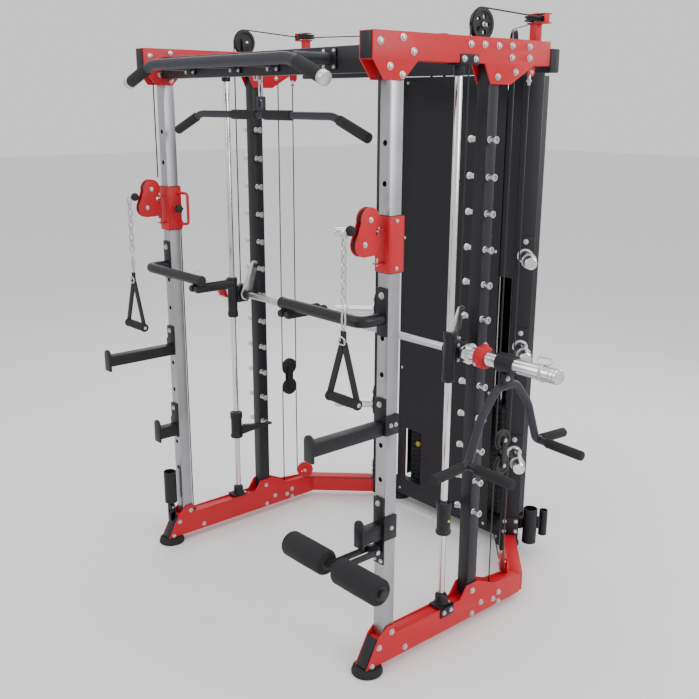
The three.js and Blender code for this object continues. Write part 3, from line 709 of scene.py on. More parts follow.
@dataclass(frozen=True)
class Sided:
    """A sub-assembly that stands on one side of the machine."""

    side: int

    @property
    def name(self) -> str:
        """The side's name.

        Returns:
            right or left.
        """
        return "right" if self.side > 0 else "left"

    def solid(self, name: str, pose: Matrix = Matrix.Identity(4)) -> Solid:
        """An empty piece named for this side.

        Args:
            name: The name without its side.
            pose: Where its parts stand.

        Returns:
            The piece.
        """
        return Solid(f"{self.name}_{name}", self.side, pose)

    def node(self, name: str) -> str:
        """A CAD node or body of this side.

        Args:
            name: The name without its side.

        Returns:
            The full name.
        """
        return f"{self.name}_{name}"


# ---- frame --------------------------------------------------------------------------
BASE_PLATE = ((-80, 27), (-24, 130), (14, 160), (50, 160), (58, 122), (390, 122), (424, 168),
              (486, 168), (585, 122), (741, 105), (741, 27))
TOP_PLATE = ((-80, 2098), (-80, 2020), (-36, 1962), (44, 1962), (102, 2018), (402, 2018),
             (434, 1956), (533, 1956), (650, 2018), (650, 2098))


@dataclass(frozen=True)
class SideFrame(Sided):
    """Base beam, top beam and the two uprights between them."""

    base_bolts: tuple = ((-23, 95), (-56, 35), (102, 48), (35, 134), (454, 138), (506, 70),
                         (456, 42), (578, 57), (609, 75), (609, 36))
    top_bolts: tuple = ((-52, 2068), (38, 2081), (82, 2043), (-13, 2000), (37, 1977),
                        (332, 2074), (397, 2075), (465, 2074), (532, 2076), (621, 2076),
                        (532, 2040), (622, 2041), (466, 1979), (554, 1995))

    def bolts(self, solid: Solid, places: tuple) -> None:
        """Bolts through both gusset plates.

        Args:
            solid: The piece that takes them in.
            places: Their (y, z) places.
        """
        for y, z in places:
            solid.bolt((X_OUT + 5, y, z), X)
            solid.bolt((X_IN - 5, y, z), (-1, 0, 0), 8)

    def base(self) -> None:
        """The base beam with its brace, gussets, foot and cable wheel."""
        s = self.solid("base_frame")
        s.plate(RED, ((-77, 27), (-24, 122), (741, 104), (741, 27)), X_IN, X_OUT, 2.5)
        s.plate(BLACK, ((-80, 31), (-28, 124), (-23, 124), (-75, 29)), X_IN + 2, X_OUT - 2)
        reach = 25 * math.sqrt(0.5)
        a, b = POST_FACE
        flat = ((X_OUT, 740.5), (X_IN, 740.5), (a - reach, b - reach), (a + reach, b + reach),
                (X_OUT, 762))
        lay = Matrix(((0, 1, 0, 0), (0, 0, 1, 0), (1, 0, 0, 0), (0, 0, 0, 1)))
        s.plate(RED, flat, BASE_LOW, 105, 2.5, lay)
        for x0, x1 in ((X_OUT, X_OUT + 5), (X_IN - 5, X_IN)):
            s.plate(RED, BASE_PLATE, x0, x1)
        self.bolts(s, self.base_bolts)
        s.spin(RUBBER, ((0, 0), (53, 0), (55, 3), (55, 9), (51, 21), (46, 24), (20, 25),
                        (20, 29), (0, 29)), (SIDE_X, -50, 0))
        n = math.sqrt(0.5)
        x, y, z = BRACE_WHEEL
        s.wheel(BRACE_WHEEL, (n, n, 0), 38, 18, RED)
        s.bar(RED, (x + 15 * n, y + 15 * n, 100), (x + 15 * n, y + 15 * n, z + 12), 24, 4)
        s.rod(ZINC, (x - 13 * n, y - 13 * n, z), (x + 19 * n, y + 19 * n, z), 5)
        for y in (68, BLOCK_Y - 40):
            s.spin(RUBBER, ((4, 0), (13, 0), (12, 5), (5, 6), (4, 0)), (SIDE_X, y, 120 if
                   y < 100 else 107))
        if self.side < 0:
            x, y, z = 660, -38.5, 160
            for d in (-10, 10):
                s.box(BLACK, x + d - 3, x + d + 3, y - 12, y + 12, 96, z + 12, 1.5)
            s.box(BLACK, x - 13, x + 13, y - 12, y + 12, 98, 136)
            s.rod(ZINC, (x - 16, y, z), (x + 16, y, z), 5)
        s.made(FRAME, self.node("base_beam"))

    def top(self) -> None:
        """The top beam with its gussets and pulley brackets."""
        s = self.solid("top_frame")
        s.box(RED, X_IN, X_OUT, -80, 741, TOP_LOW, TOP_HIGH, 3)
        s.box(BLACK, X_IN + 2, X_OUT - 2, -83, -79, TOP_LOW + 2, TOP_HIGH - 2)
        s.box(BLACK, X_IN + 2, X_OUT - 2, 740, 743, TOP_LOW + 2, TOP_HIGH - 2)
        for x0, x1 in ((X_OUT, X_OUT + 5), (X_IN - 5, X_IN)):
            s.plate(RED, TOP_PLATE, x0, x1)
        self.bolts(s, self.top_bolts)
        s.box(BLACK, X_OUT + 4.5, X_OUT + 9, 284, 368, 2013, 2044)
        for y in (300, 352):
            s.bolt((X_OUT + 9, y, 2030), X, 8)
        s.box(BLACK, SIDE_X - 19, SIDE_X - 15, 392, 432, TOP_HIGH - 1, 2152)
        s.rod(ZINC, (SIDE_X - 22, *CROWN[1:]), (SIDE_X + 12, *CROWN[1:]), 6)
        x, y, z = TURN
        s.box(RED, x - 15, x + 15, y - 14, y + 16, TOP_HIGH - 1, 2158, 2)
        s.box(RED, x - 24, x + 50, y - 20, y + 20, 2155, 2160)
        s.box(RED, x - 24, x + 52, y - 20, y + 20, 2184, 2188)
        s.box(RED, x + 47, x + 52, y - 20, y + 6, 2158, 2186)
        s.rod(ZINC, (x, y, 2150), (x, y, 2190), 6)
        s.bolt((x, y, 2188), Z, 7)
        s.plate(RED, ((652, 2020), (652, 1994), (660, 1985), (680, 1985), (688, 1994),
                      (688, 2020)), SIDE_X - 4, SIDE_X + 4)
        s.bolt((SIDE_X + 4, 670, 1999), X, 6)
        s.rod(ZINC, (SIDE_X, BLOCK_Y + 40, 1956), (SIDE_X, BLOCK_Y + 40, 1990), 5, sides=16)
        s.rod(ZINC, (SIDE_X, BLOCK_Y + 40, 1966), (SIDE_X, BLOCK_Y + 40, 1974), 9, sides=6)
        s.made(FRAME, self.node("top_beam"))

    def uprights(self) -> None:
        """The perforated front upright and the rear upright with its pegs."""
        front, holes = self.solid("front_tube"), self.solid("front_bores")
        front.box(STEEL, X_IN + 0.3, X_OUT - 0.3, 0, 50, 122.3, 2017.7, 3)
        rows = [PEG_TOP - row * PEG_PITCH for row in range(PEG_ROWS + 1)]
        for z in rows:
            holes.rod(BLACK, (SIDE_X, -9, z), (SIDE_X, 44, z), 9, bevel=0)
        front.bore(holes)
        # The bore walls take the near-black rubber finish as painted shade: the dark inside of a
        # hollow tube, not a real rubber lining.
        front.sink(math.pi * 81, 30, RUBBER)
        if self.side > 0:
            front.box(BLACK, X_IN + 1, X_OUT - 1, -6, -0.2, 400, 484)
            front.box(BLACK, SIDE_X - 14, SIDE_X + 14, -44, -5, 438, 474, 4)
            front.rod(BLACK, (SIDE_X - 17, -30, 456), (SIDE_X + 17, -30, 456), 15)
            for x in (-15, 15):
                front.bolt((SIDE_X + x, -6, 414), (0, -1, 0), 6)
            front.rod(BLACK, (SIDE_X + 14, -20, 462), (SIDE_X + 17, -20, 462), 9)
        front.made(FRAME, self.node("front_upright"))
        rear = self.solid("rear_tube")
        rear.box(BLACK, X_IN + 0.3, X_OUT - 0.3, 430, 480, 122.3, 2017.7, 3)
        spool = ((0, 0), (11, 0), (11, 2), (8.6, 4), (8.6, 19), (11.5, 24), (12.5, 31), (11.5, 33),
                 (7, 33), (6, 27), (0, 27))
        for z in rows[:PEG_ROWS]:
            rear.spin(ZINC, spool, (X_OUT - 0.4, PEG_Y, z), X, 28)
            rear.spin(ZINC, spool, (X_IN + 0.4, PEG_Y, z), (-1, 0, 0), 28)
        rear.made(FRAME, self.node("rear_upright"))

    def rods(self) -> None:
        """The guide rod and its two flanges."""
        s = self.solid("guide")
        s.rod(CHROME, (SIDE_X, ROD_Y, 140), (SIDE_X, ROD_Y, 1992), 12.5, sides=40)
        s.box(BLACK, SIDE_X - 26, X_OUT + 10, 281, 349, 122.5, 129)
        s.box(BLACK, X_OUT + 5.2, X_OUT + 10, 281, 349, 88, 129)
        s.box(BLACK, SIDE_X - 26, SIDE_X + 26, 281, 335, 2011, 2017.5)
        s.spin(BLACK, ((12.7, 0), (26, 0), (26, 5), (22, 8), (22, 34), (20, 37), (12.7, 37),
                       (12.7, 0)), (SIDE_X, ROD_Y, 128))
        s.spin(BLACK, ((12.7, 0), (17, 0), (18.5, 3), (18.5, 30), (12.7, 30), (12.7, 0)),
               (SIDE_X, ROD_Y, 1981))
        for y in (297, 333):
            s.bolt((X_OUT + 10, y, 107), X, 7)
        for x in (-17, 17):
            s.bolt((SIDE_X + x, 341, 129), Z, 5)
        s.made(FRAME, self.node("guide_rod"))


@dataclass(frozen=True)
class Tower:
    """The weight tower with its roof, horns and feet, and the sheets that clad it."""

    horns: tuple = (1316, 945, 487)

    def half(self, side: int) -> Solid:
        """One half of the tower.

        Args:
            side: 1 on the right, -1 on the left.

        Returns:
            The half, not yet bound to a body.
        """
        turn = Matrix.Translation((*POST_FACE, 0)) @ Matrix.Rotation(math.radians(135), 4, "Z")
        name = "right" if side > 0 else "left"
        s = Solid(f"{name}_tower", side, turn)
        s.box(BLACK, 0.3, 50, -37.5, 37.5, 27, 2018, 3)
        s.box(BLACK, 48, 130, -25, 25, 27, 105, 2.5)
        s.box(BLACK, -3, 1, -36, 36, 106, 186)
        for c, z in ((-24, 122), (24, 122), (-24, 168), (24, 168)):
            s.bolt((-3, c, z), (-1, 0, 0), 7)
        for z in self.horns:
            s.box(BLACK, -5, 1, -34, 34, z - 46, z + 76)
            s.bolt((-5, 0, z + 56), (-1, 0, 0), 8)
            s.bolt((-5, 0, z - 34), (-1, 0, 0), 6)
            s.spin(CHROME, ((0, 0), (30, 0), (31, 3), (29, 7), (24.5, 8), (24.5, 180), (23, 186),
                            (20, 188), (18, 186), (0, 186)), (-5, 0, z), (-1, 0, 0))
            ring = [(-132 - 5 * i / 24, 27.5 * math.cos(i * math.tau / 12),
                     z + 27.5 * math.sin(i * math.tau / 12)) for i in range(25)]
            s.tube(ZINC, ring, 2.4)
        s.pose = Matrix.Identity(4)
        s.spin(RUBBER, ((0, 0), (50, 0), (52, 3), (52, 9), (47, 21), (42, 24), (20, 25),
                        (20, 29), (0, 29)), (344, 1077, 0))
        s.box(BLACK, 275, 325, 789, 1008, TOP_LOW, TOP_LOW + 50, 2.5)
        s.box(SHEET, 287, 402, 1003, 1005, 1210, 2003, 0.5)
        for x, y in ((300, 780), (300, 1020)):
            s.bolt((x, y, TOP_LOW + 50 if y > 900 else 2076), Z, 8)
        x, y, z = TOWER_WHEEL
        n = (math.cos(WRAP), math.sin(WRAP), 0)
        s.wheel(TOWER_WHEEL, n, 48, 18)
        for d in (-14, 14):
            foot = Vector((x + n[0] * d, y + n[1] * d, TOP_LOW + 28))
            at = Matrix.Translation(foot) @ Matrix.Rotation(WRAP, 4, "Z")
            s.box(BLACK, -1.5, 1.5, -16, 16, 0, 100, 1, at)
        s.rod(ZINC, Vector(TOWER_WHEEL) - Vector(n) * 18, Vector(TOWER_WHEEL) + Vector(n) * 18, 6)
        for d in (-38, 38):
            s.rod(CHROME, (219 + d, 1137, 104), (219 + d, 1137, 2030), 8)
            s.spin(RUBBER, ((9.6, 0), (19, 0), (19, 5), (9.6, 6.5), (9.6, 0)),
                   (219 + d, 1137, 105))
        return s

    def build(self) -> None:
        """Both halves, the rails between them and the sheets."""
        rails = Solid("tower_rails")
        rails.box(BLACK, -360, 360, 1052, 1102, BASE_LOW, 105, 2.5)
        rails.box(BLACK, -300, 300, 1102, 1196, 85, 104)
        rails.box(BLACK, -440, 440, 1006, 1056, TOP_LOW + 0.5, TOP_LOW + 50, 2.5)
        for x in (-441, 441):
            rails.box(PLASTIC, x - 2, x + 2, 1008, 1054, TOP_LOW + 2, TOP_LOW + 48)
        roof, slots = Solid("roof"), Solid("slots")
        roof.box(BLACK, -300, 300, 1050, 1196, TOP_LOW + 10, TOP_LOW + 30)
        for x in (-152, 152):
            slots.box(BLACK, x - 10, x + 10, 1160, 1182, TOP_LOW, TOP_LOW + 40, 0)
        rails.join(roof.bore(slots))
        rails.box(BLACK, -X_OUT, X_OUT, 741.5, 791, 1998, 2076, 2.5)
        for x in (-X_OUT, X_OUT):
            rails.box(PLASTIC, x - 2.5, x + 2.5, 743, 789, 2000, 2074)
        for x in (-560, -240, 240, 560):
            rails.bolt((x, 791, 2037), Y, 8)
        rails.box(ZINC, -88, -2, 1001, 1006, 2018, 2051, 1)
        for x in (-78, -12):
            rails.bolt((x, 1001, 2034), (0, -1, 0), 4)
        rails.made(FRAME, "tower_frame")
        for side in (1, -1):
            self.half(side).made(FRAME)
        self.sheets()

    def sheets(self) -> None:
        """The front and rear shrouds, folded from sheet, with their screws."""
        front, slots = Solid("front_sheet"), Solid("sheet_slots")
        front.box(SHEET, -285, 285, 1000, 1002, 60, 2003, 0.4)
        for x in (-1, 1):
            front.box(SHEET, min(283 * x, 285 * x), max(283 * x, 285 * x), 1001, 1040, 110,
                      2003, 0.4)
            slots.box(SHEET, min(130 * x, 230 * x), max(130 * x, 230 * x), 990, 1012, 142,
                      405, 0)
        front.bore(slots)
        for x in (-265, 265):
            for z in (90, 700, 1310, 1980):
                front.spin(ZINC, ((0, 0), (7, 0), (6.5, 2.2), (3, 3.4), (0, 3.4)),
                           (x, 1000.2, z), (0, -1, 0), 20)
        front.made(FRAME, "front_shroud")
        rear = Solid("rear_sheet")
        rear.box(SHEET, -330, 330, 1200, 1202, 60, 2003, 0.4)
        for x in (-1, 1):
            rear.box(SHEET, min(328 * x, 330 * x), max(328 * x, 330 * x), 1110, 1201, 112,
                     2003, 0.4)
        for x in (-290, 0, 290):
            rear.box(SHEET, x - 22, x + 22, 1201, 1204, 84, 1980, 1)
            for z in (72, 1992):
                rear.spin(ZINC, ((0, 0), (7, 0), (6.5, 2.2), (3, 3.4), (0, 3.4)),
                          (x, 1202, z), Y, 20)
        rear.made(FRAME, "rear_shroud")


# ---- smith bar ----------------------------------------------------------------------
@dataclass(frozen=True)
class SmithBar:
    """The guided bar, its hooks and clamps, and the rowing handle on its sleeve."""

    half_length: float = 1076
    clamp_x: float = 762
    row_x: float = 866
    open_deg: float = 16

    def hook(self, s: Solid) -> None:
        """One hook plate with its collar.

        Args:
            s: The piece that takes it in.
        """
        dy, dz = PEG_Y - BAR_Y, PEG_TOP - 5 * PEG_PITCH - BAR_Z
        reach, tilt = math.hypot(dy, dz), math.atan2(dz, dy)
        outline = [(y, z) for _, y, z in arc((0, 0, 0), 27, 90, 270, 12)]
        outline += [(reach - 18, -14), (reach - 11, -14)]
        outline += [(reach + 10.5 * math.cos(a), 10.5 * math.sin(a)) for a in
                    (math.radians(194 - 17.6 * i) for i in range(12))]
        outline += [(reach + 10.5, -8), (reach + 20, -8)]
        outline += [(y, z) for _, y, z in arc((0, reach, 2), 22, 0, 90, 8)]
        at = Matrix.Translation((0, BAR_Y, BAR_Z)) @ Matrix.Rotation(
            tilt + math.radians(self.open_deg), 4, "X")
        s.plate(ZINC, outline, 608, 614, 1.2, at)
        s.rod(BLACK, (590, BAR_Y, BAR_Z), (608, BAR_Y, BAR_Z), 20)
        s.rod(BLACK, (614, BAR_Y, BAR_Z), (622, BAR_Y, BAR_Z), 20)
        s.bolt((599, BAR_Y, BAR_Z + 19), Z, 4)

    def sleeve(self, s: Solid) -> None:
        """A load sleeve with its flange, clamp and spring clip.

        Args:
            s: The piece that takes it in.
        """
        c, end = self.clamp_x, self.half_length
        s.spin(CHROME, ((0, 0), (25, 0), (25, 22), (36, 22), (36, 32), (25, 32), (25, end - 684),
                        (23, end - 678), (21, end - 676), (19, end - 679), (0, end - 679)),
               (674, BAR_Y, BAR_Z), X, 48)
        for x in (end - 20, end - 36):
            s.spin(BAR, ((24.8, 0), (25.5, 1), (25.5, 4), (24.8, 5)), (x, BAR_Y, BAR_Z), X)
        s.spin(RED, ((25.3, -18), (36, -18), (38, -14), (38, 14), (36, 18), (25.3, 18),
                     (25.3, -18)), (c, BAR_Y, BAR_Z), X, 48)
        for turn in (80, 200, 320):
            a = math.radians(turn)
            way = Vector((0, math.cos(a), math.sin(a)))
            at = Vector((c, BAR_Y, BAR_Z))
            s.rod(RED, at + way * 26, at + way * 46, 15, 11, bevel=3)
            s.bolt(at + way * 46, way, 5)
        s.rod(BLACK, (c + 19, BAR_Y + 26, BAR_Z + 18), (c - 19, BAR_Y + 26, BAR_Z + 18), 6)
        ring = [(1004 + 11 * i / 36, BAR_Y + 27.6 * math.cos(i * math.tau / 16),
                 BAR_Z + 27.6 * math.sin(i * math.tau / 16)) for i in range(37)]
        s.tube(ZINC, ring, 2.2)
        s.tube(ZINC, ((1006, BAR_Y, BAR_Z + 27), (984, BAR_Y, BAR_Z + 32), (984, BAR_Y + 6,
               BAR_Z + 48), (1036, BAR_Y + 8, BAR_Z + 48), (1036, BAR_Y, BAR_Z + 32),
               (1014, BAR_Y, BAR_Z + 27)), 2.2, 6)

    def build(self) -> None:
        """The bar and the rowing handle."""
        bar = Solid("guided_bar")
        bar.rod(BAR, (-676, BAR_Y, BAR_Z), (676, BAR_Y, BAR_Z), 14, sides=40)
        for x0, x1 in ((-420, -130), (130, 420)):
            for i in range(int((x1 - x0) / 5.8)):
                x = x0 + 5.8 * i
                bar.spin(BAR, ((13.9, 0), (14.35, 0.8), (14.35, 2.6), (13.9, 3.4)),
                         (x, BAR_Y, BAR_Z), X, 20)
        for side in (1, -1):
            half = Solid("half", side)
            self.hook(half)
            self.sleeve(half)
            bar.join(half)
        bar.made("smith_bar_body", "smith_bar")
        self.row_handle()

    def row_handle(self) -> None:
        """The rowing handle hung on the right-hand sleeve."""
        x, top = self.row_x, BAR_Z - 74
        s = Solid("rowing_handle")
        s.spin(BLACK, ((25.6, -34), (31, -34), (33, -31), (33, 31), (31, 34), (25.6, 34),
                       (25.6, -34)), (x, BAR_Y, BAR_Z), X, 48)
        s.box(BLACK, x - 7, x + 7, BAR_Y - 26, BAR_Y + 26, BAR_Z - 78, BAR_Z - 28, 3)
        s.bolt((x + 7, BAR_Y - 6, BAR_Z - 48), X, 7)
        for d in (-1, 1):
            s.tube(TEXTURED, ((x, BAR_Y, top), (x, BAR_Y + d * 47, top),
                              (x, BAR_Y + d * 120, top - 86), (x, BAR_Y + d * 176, top - 234),
                              (x, BAR_Y + d * 334, top - 243)), 14, 24, around=8)
            s.rod(TEXTURED, (x, BAR_Y + d * 182, top - 232), (x + 180, BAR_Y + d * 182,
                  top - 240), 13)
            for a, b in (((x + 40, BAR_Y + d * 182, top - 234), (x + 189, BAR_Y + d * 182,
                          top - 240)), ((x, BAR_Y + d * 204, top - 235), (x, BAR_Y + d * 338,
                                                                      top - 243))):
                s.rod(FOAM, a, b, 17, bevel=5)
        s.made("row_handle_body", "row_handle")


@dataclass(frozen=True)
class Guided(Sided):
    """What runs on one guide rod."""

    def build(self) -> None:
        """The carriage and the safety stop."""
        c = self.solid("slide_block")
        c.spin(BLACK, ((13.2, 978), (21, 978), (23, 982), (23, 1000), (21, 1004), (21, 1128),
                       (23, 1132), (23, 1151), (21, 1155), (13.2, 1155), (13.2, 978)),
               (SIDE_X, ROD_Y, 0))
        bored = self.solid("block").box(BLACK, SIDE_X - 20, SIDE_X + 18, ROD_Y + 14, BAR_Y + 28,
                                        BAR_Z - 38, BAR_Z + 38, 4)
        c.join(bored.bore(self.solid("axis").rod(BLACK, (SIDE_X - 40, BAR_Y, BAR_Z),
                                                  (SIDE_X + 40, BAR_Y, BAR_Z), 15, bevel=0)))
        c.rod(ZINC, (SIDE_X, BAR_Y, BAR_Z + 36), (SIDE_X, BAR_Y, BAR_Z + 50), 6, sides=16)
        for z in (-26, 26):
            c.bolt((SIDE_X + 18, ROD_Y + 24, BAR_Z + z), X, 5)
        c.made("smith_carriages", self.node("carriage"))
        s = self.solid("stop_block")
        s.spin(BLACK, ((13.2, 408), (26, 408), (28, 411), (28, 420), (25, 424), (25, 498),
                       (28, 502), (28, 527), (25, 530), (13.2, 530), (13.2, 408)),
               (SIDE_X, ROD_Y, 0))
        s.bar(BLACK, (SIDE_X - 18, ROD_Y + 20, 463), (584, 414, 463), 22, 12, 2)
        s.bar(BLACK, (584, 406, 463), (584, 462, 463), 22, 10, 2)
        slope = math.atan2(414 - ROD_Y - 16, 584 - SIDE_X + 16)
        at = Matrix.Translation((SIDE_X - 16, ROD_Y + 16, 0)) @ Matrix.Rotation(
            slope - math.pi / 2, 4, "Z")
        s.plate(BLACK, ((0, 420), (0, 462), (88, 462), (88, 450)), -4, 4, 1.2, at)
        s.rod(YELLOW, (SIDE_X + 24, ROD_Y, 463), (SIDE_X + 27, ROD_Y, 463), 5)
        s.made(self.node("safety_stop_body"), self.node("safety_stop"))


# ---- cable columns ------------------------------------------------------------------
@dataclass(frozen=True)
class CableColumn(Sided):
    """The trolley, its swivelling pulleys and the handle that hangs from them."""

    def trolley(self) -> None:
        """The sleeve on the front upright."""
        s, z = self.solid("trolley_sleeve"), TROLLEY_Z
        low, high = z - 87, z + 87
        s.box(RED, SIDE_X - 32, SIDE_X + 32, -7, -1, low, high, 1.5)
        s.box(RED, SIDE_X - 32, SIDE_X + 32, 51, 57, low, high, 1.5)
        for x in (-32, 26):
            s.box(RED, SIDE_X + x, SIDE_X + x + 6, -5, 55, low, high, 1.5)
        for h in (low - 2, high - 2):
            for x0, x1, y0, y1 in ((-31, 31, -4, -0.6), (-31, 31, 50.6, 54), (-31, -25.6, -4, 54),
                                   (25.6, 31, -4, 54)):
                s.box(PLASTIC, SIDE_X + x0, SIDE_X + x1, y0, y1, h, h + 4, 0.4)
        s.tube(RED, ((SIDE_X - 28, 40, z + 62), (SIDE_X - 88, 52, z + 62),
                     (SIDE_X - 88, 52, z - 62), (SIDE_X - 28, 40, z - 62)), 6, 16)
        s.rod(ZINC, (SIDE_X - 30, 25, z), (SIDE_X - 52, 25, z), 8)
        s.rod(PLASTIC, (SIDE_X - 44, 25, z), (SIDE_X - 58, 25, z), 10)
        for i in range(6):
            a = i * math.tau / 6
            y, h = 25 + 11 * math.cos(a), z + 11 * math.sin(a)
            s.rod(PLASTIC, (SIDE_X - 56, y, h), (SIDE_X - 72, y, h), 6, sides=16, bevel=2)
        s.rod(PLASTIC, (SIDE_X - 56, 25, z), (SIDE_X - 73, 25, z), 12)
        for h in (z + 47, z - 60):
            s.box(RED, SIDE_X - 14, SIDE_X + 14, -34, -6, h, h + 4)
        s.rod(ZINC, (SIDE_X, -26, z - 64), (SIDE_X, -26, z + 54), 3.2, sides=16)
        s.bolt((SIDE_X, -26, z + 51), Z, 6)
        s.box(RED, SIDE_X - 8, SIDE_X + 8, 56, 76, low + 5, low + 30)
        for h in (low + 14, high - 14):
            s.bolt((SIDE_X + 32, 25, h), X, 5)
        s.made(self.node("trolley_body"), self.node("trolley"))

    def swivel(self) -> None:
        """The figure-of-eight cheeks and their wheels."""
        s, z = self.solid("swivel_cheeks"), TROLLEY_Z
        high, low = (SIDE_X, -66, z + 81), (SIDE_X, -89, z + 8)
        ring = [(p.y, p.z) for p in arc(high, 38, -50, 190, 20)]
        ring += [(p.y, p.z) for p in arc(low, 38, 150, 280, 14)]
        ring += [(-37, low[2] - 36), (-37, low[2] + 22), (-49, low[2] + 34)]
        for x in (-13, 9):
            s.plate(RED, ring, SIDE_X + x, SIDE_X + x + 4)
        for at in (high, low):
            s.wheel(at, X, 33, 17)
            for d in (-1, 1):
                s.bolt(Vector(at) + Vector((13 * d, 0, 0)), (d, 0, 0), 7)
        s.rod(RED, (SIDE_X, -26, z - 40), (SIDE_X, -26, z + 40), 7)
        s.box(RED, SIDE_X - 12, SIDE_X + 12, -46, -28, z - 14, z + 14)
        s.tube(JACKET, ((SIDE_X, -70, z + 46), (SIDE_X, -100, z + 50), (SIDE_X, -126,
                                                                        z + 53)), 2.5, 8)
        ball = [(16 * math.sin(a), 16 * math.cos(a)) for a in
                (math.pi * i / 14 for i in range(15))]
        s.spin(RUBBER, ball, (SIDE_X, -136, z + 53), (0, -1, 0.05), 28)
        s.made(self.node("swivel_bracket_body"), self.node("swivel_bracket"))

    def handle(self) -> None:
        """Chain, carabiner, straps and grip."""
        s, y, z = self.solid("hanging_handle"), -162, TROLLEY_Z + 53
        for i in range(9):
            drop, across = z - 12 - i * 24.2, i % 2
            link = []
            for k in range(12):
                a = k * math.tau / 12
                u, v = 8.4 * math.cos(a), 8.4 * math.sin(a) + (6 if math.sin(a) > 0 else -6)
                link.append((SIDE_X + u * across, y + u * (1 - across), drop + v))
            s.tube(ZINC, link, 2.6, closed=True, around=2)
        clip = [(SIDE_X + 8 * math.cos(a), y, z - 266 + 26 * math.sin(a) + 12 * math.sin(a) ** 3)
                for a in (k * math.tau / 24 for k in range(24))]
        s.tube(ZINC, clip, 3, closed=True)
        s.tube(ZINC, ((SIDE_X, y - 7, z - 318), (SIDE_X + 13, y - 7, z - 324), (SIDE_X + 13,
               y - 7, z - 342), (SIDE_X - 13, y - 7, z - 342), (SIDE_X - 13, y - 7, z - 324),
               (SIDE_X, y - 7, z - 318)), 2.5, 5)
        s.box(WEBBING, SIDE_X - 11, SIDE_X + 11, y - 4, y + 4, z - 350, z - 300, 2)
        for d in (-1, 1):
            top, foot = (SIDE_X + d * 4, y, z - 338), (SIDE_X + d * 64, y, z - 512)
            s.bar(WEBBING, top, foot, 7, 24, 1.5)
            s.rod(RUBBER, (SIDE_X + d * 57, y, z - 520), (SIDE_X + d * 72, y, z - 520), 17,
                  bevel=4)
            s.rod(ZINC, (SIDE_X + d * 70, y, z - 520), (SIDE_X + d * 73, y, z - 520), 7)
        s.spin(FOAM, ((0, -60), (14, -60), (15.5, -50), (16, -20), (16.4, 0), (16, 20),
                      (15.5, 50), (14, 60), (0, 60)), (SIDE_X, y, z - 520), X)
        s.made(self.node("pull_handle_body"), self.node("pull_handle"))

    def block(self) -> None:
        """The floating block and the stack that it lifts."""
        s, gap = self.solid("double_block"), 50.5
        for d in (-1, 1):
            s.wheel((SIDE_X, BLOCK_Y, BLOCK_Z + d * gap), X, 38, 17)
        for x in (-13.5, 10):
            s.plate(BLACK, [(p.y, p.z) for p in arc((0, BLOCK_Y, BLOCK_Z + gap), 14, 0, 180)]
                    + [(p.y, p.z) for p in arc((0, BLOCK_Y, BLOCK_Z - gap), 14, 180, 360)],
                    SIDE_X + x, SIDE_X + x + 3.5)
        for d in (-1, 1):
            s.bolt((SIDE_X + 13.5, BLOCK_Y, BLOCK_Z + d * gap), X, 6)
        s.made(self.node("floating_block_body"), self.node("floating_block"))

    def stack(self) -> None:
        """The weight plates, their stem and the selector."""
        s, bores = self.solid("plates"), self.solid("plate_bores")
        for i in range(20):
            z = 112 + i * 25
            s.box(IRON, 162, 276, 1083, 1190, z, z + 23.4, 2.2)
            s.box(RUBBER, 168, 270, 1090, 1184, z + 23, z + 25.4, 0)
            bores.rod(IRON, (219, 1060, z + 12), (219, 1092, z + 12), 5.5, sides=16, bevel=0)
        s.bore(bores)
        for d in (-38, 38):
            s.spin(CHROME, ((9.2, 0), (13, 0), (12, 4), (9.2, 4), (9.2, 0)),
                   (219 + d, 1137, 610), steps=24)
        s.rod(CHROME, (219, 1137, 606), (219, 1137, 700), 10)
        s.rod(ZINC, (219, 1092, 309), (219, 1072, 309), 5, sides=16)
        s.spin(YELLOW, ((0, 0), (9, 0), (12, 4), (12, 12), (9, 16), (0, 17)),
               (219, 1081, 309), (0, -1, 0), 28)
        s.made(self.node("weight_stack_body"), self.node("weight_stack"))

    def wheels(self) -> None:
        """The crown pulley and the turning pulley."""
        self.solid("crown_wheel").wheel(CROWN, X, 50, 18).made(
            self.node("crown_pulley_body"), self.node("crown_pulley"))
        self.solid("turn_wheel").wheel(TURN, Z, 41, 16).made(
            self.node("turn_pulley_body"), self.node("turn_pulley"))

    def cable(self, name: str, points: Iterable[Point], body: str = "", start: float = 0,
              end: float = 0) -> None:
        """A steel cable, stretched between the frame and what it pulls.

        Args:
            name: The CAD node that it stands for.
            points: Its route.
            body: What pulls it, in which case the cable is left unbound, or nothing for a cable
                bound to the frame.
            start: Not used.
            end: Not used.
        """
        s = self.solid(f"{name}_jacket").tube(JACKET, points, 2.5, around=4)
        piece = s.made("" if body else FRAME, self.node(name))
        if body:
            x, y = self.side * SIDE_X / 1000, (BLOCK_Y - ORIGIN_Y) / 1000
            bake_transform(piece)

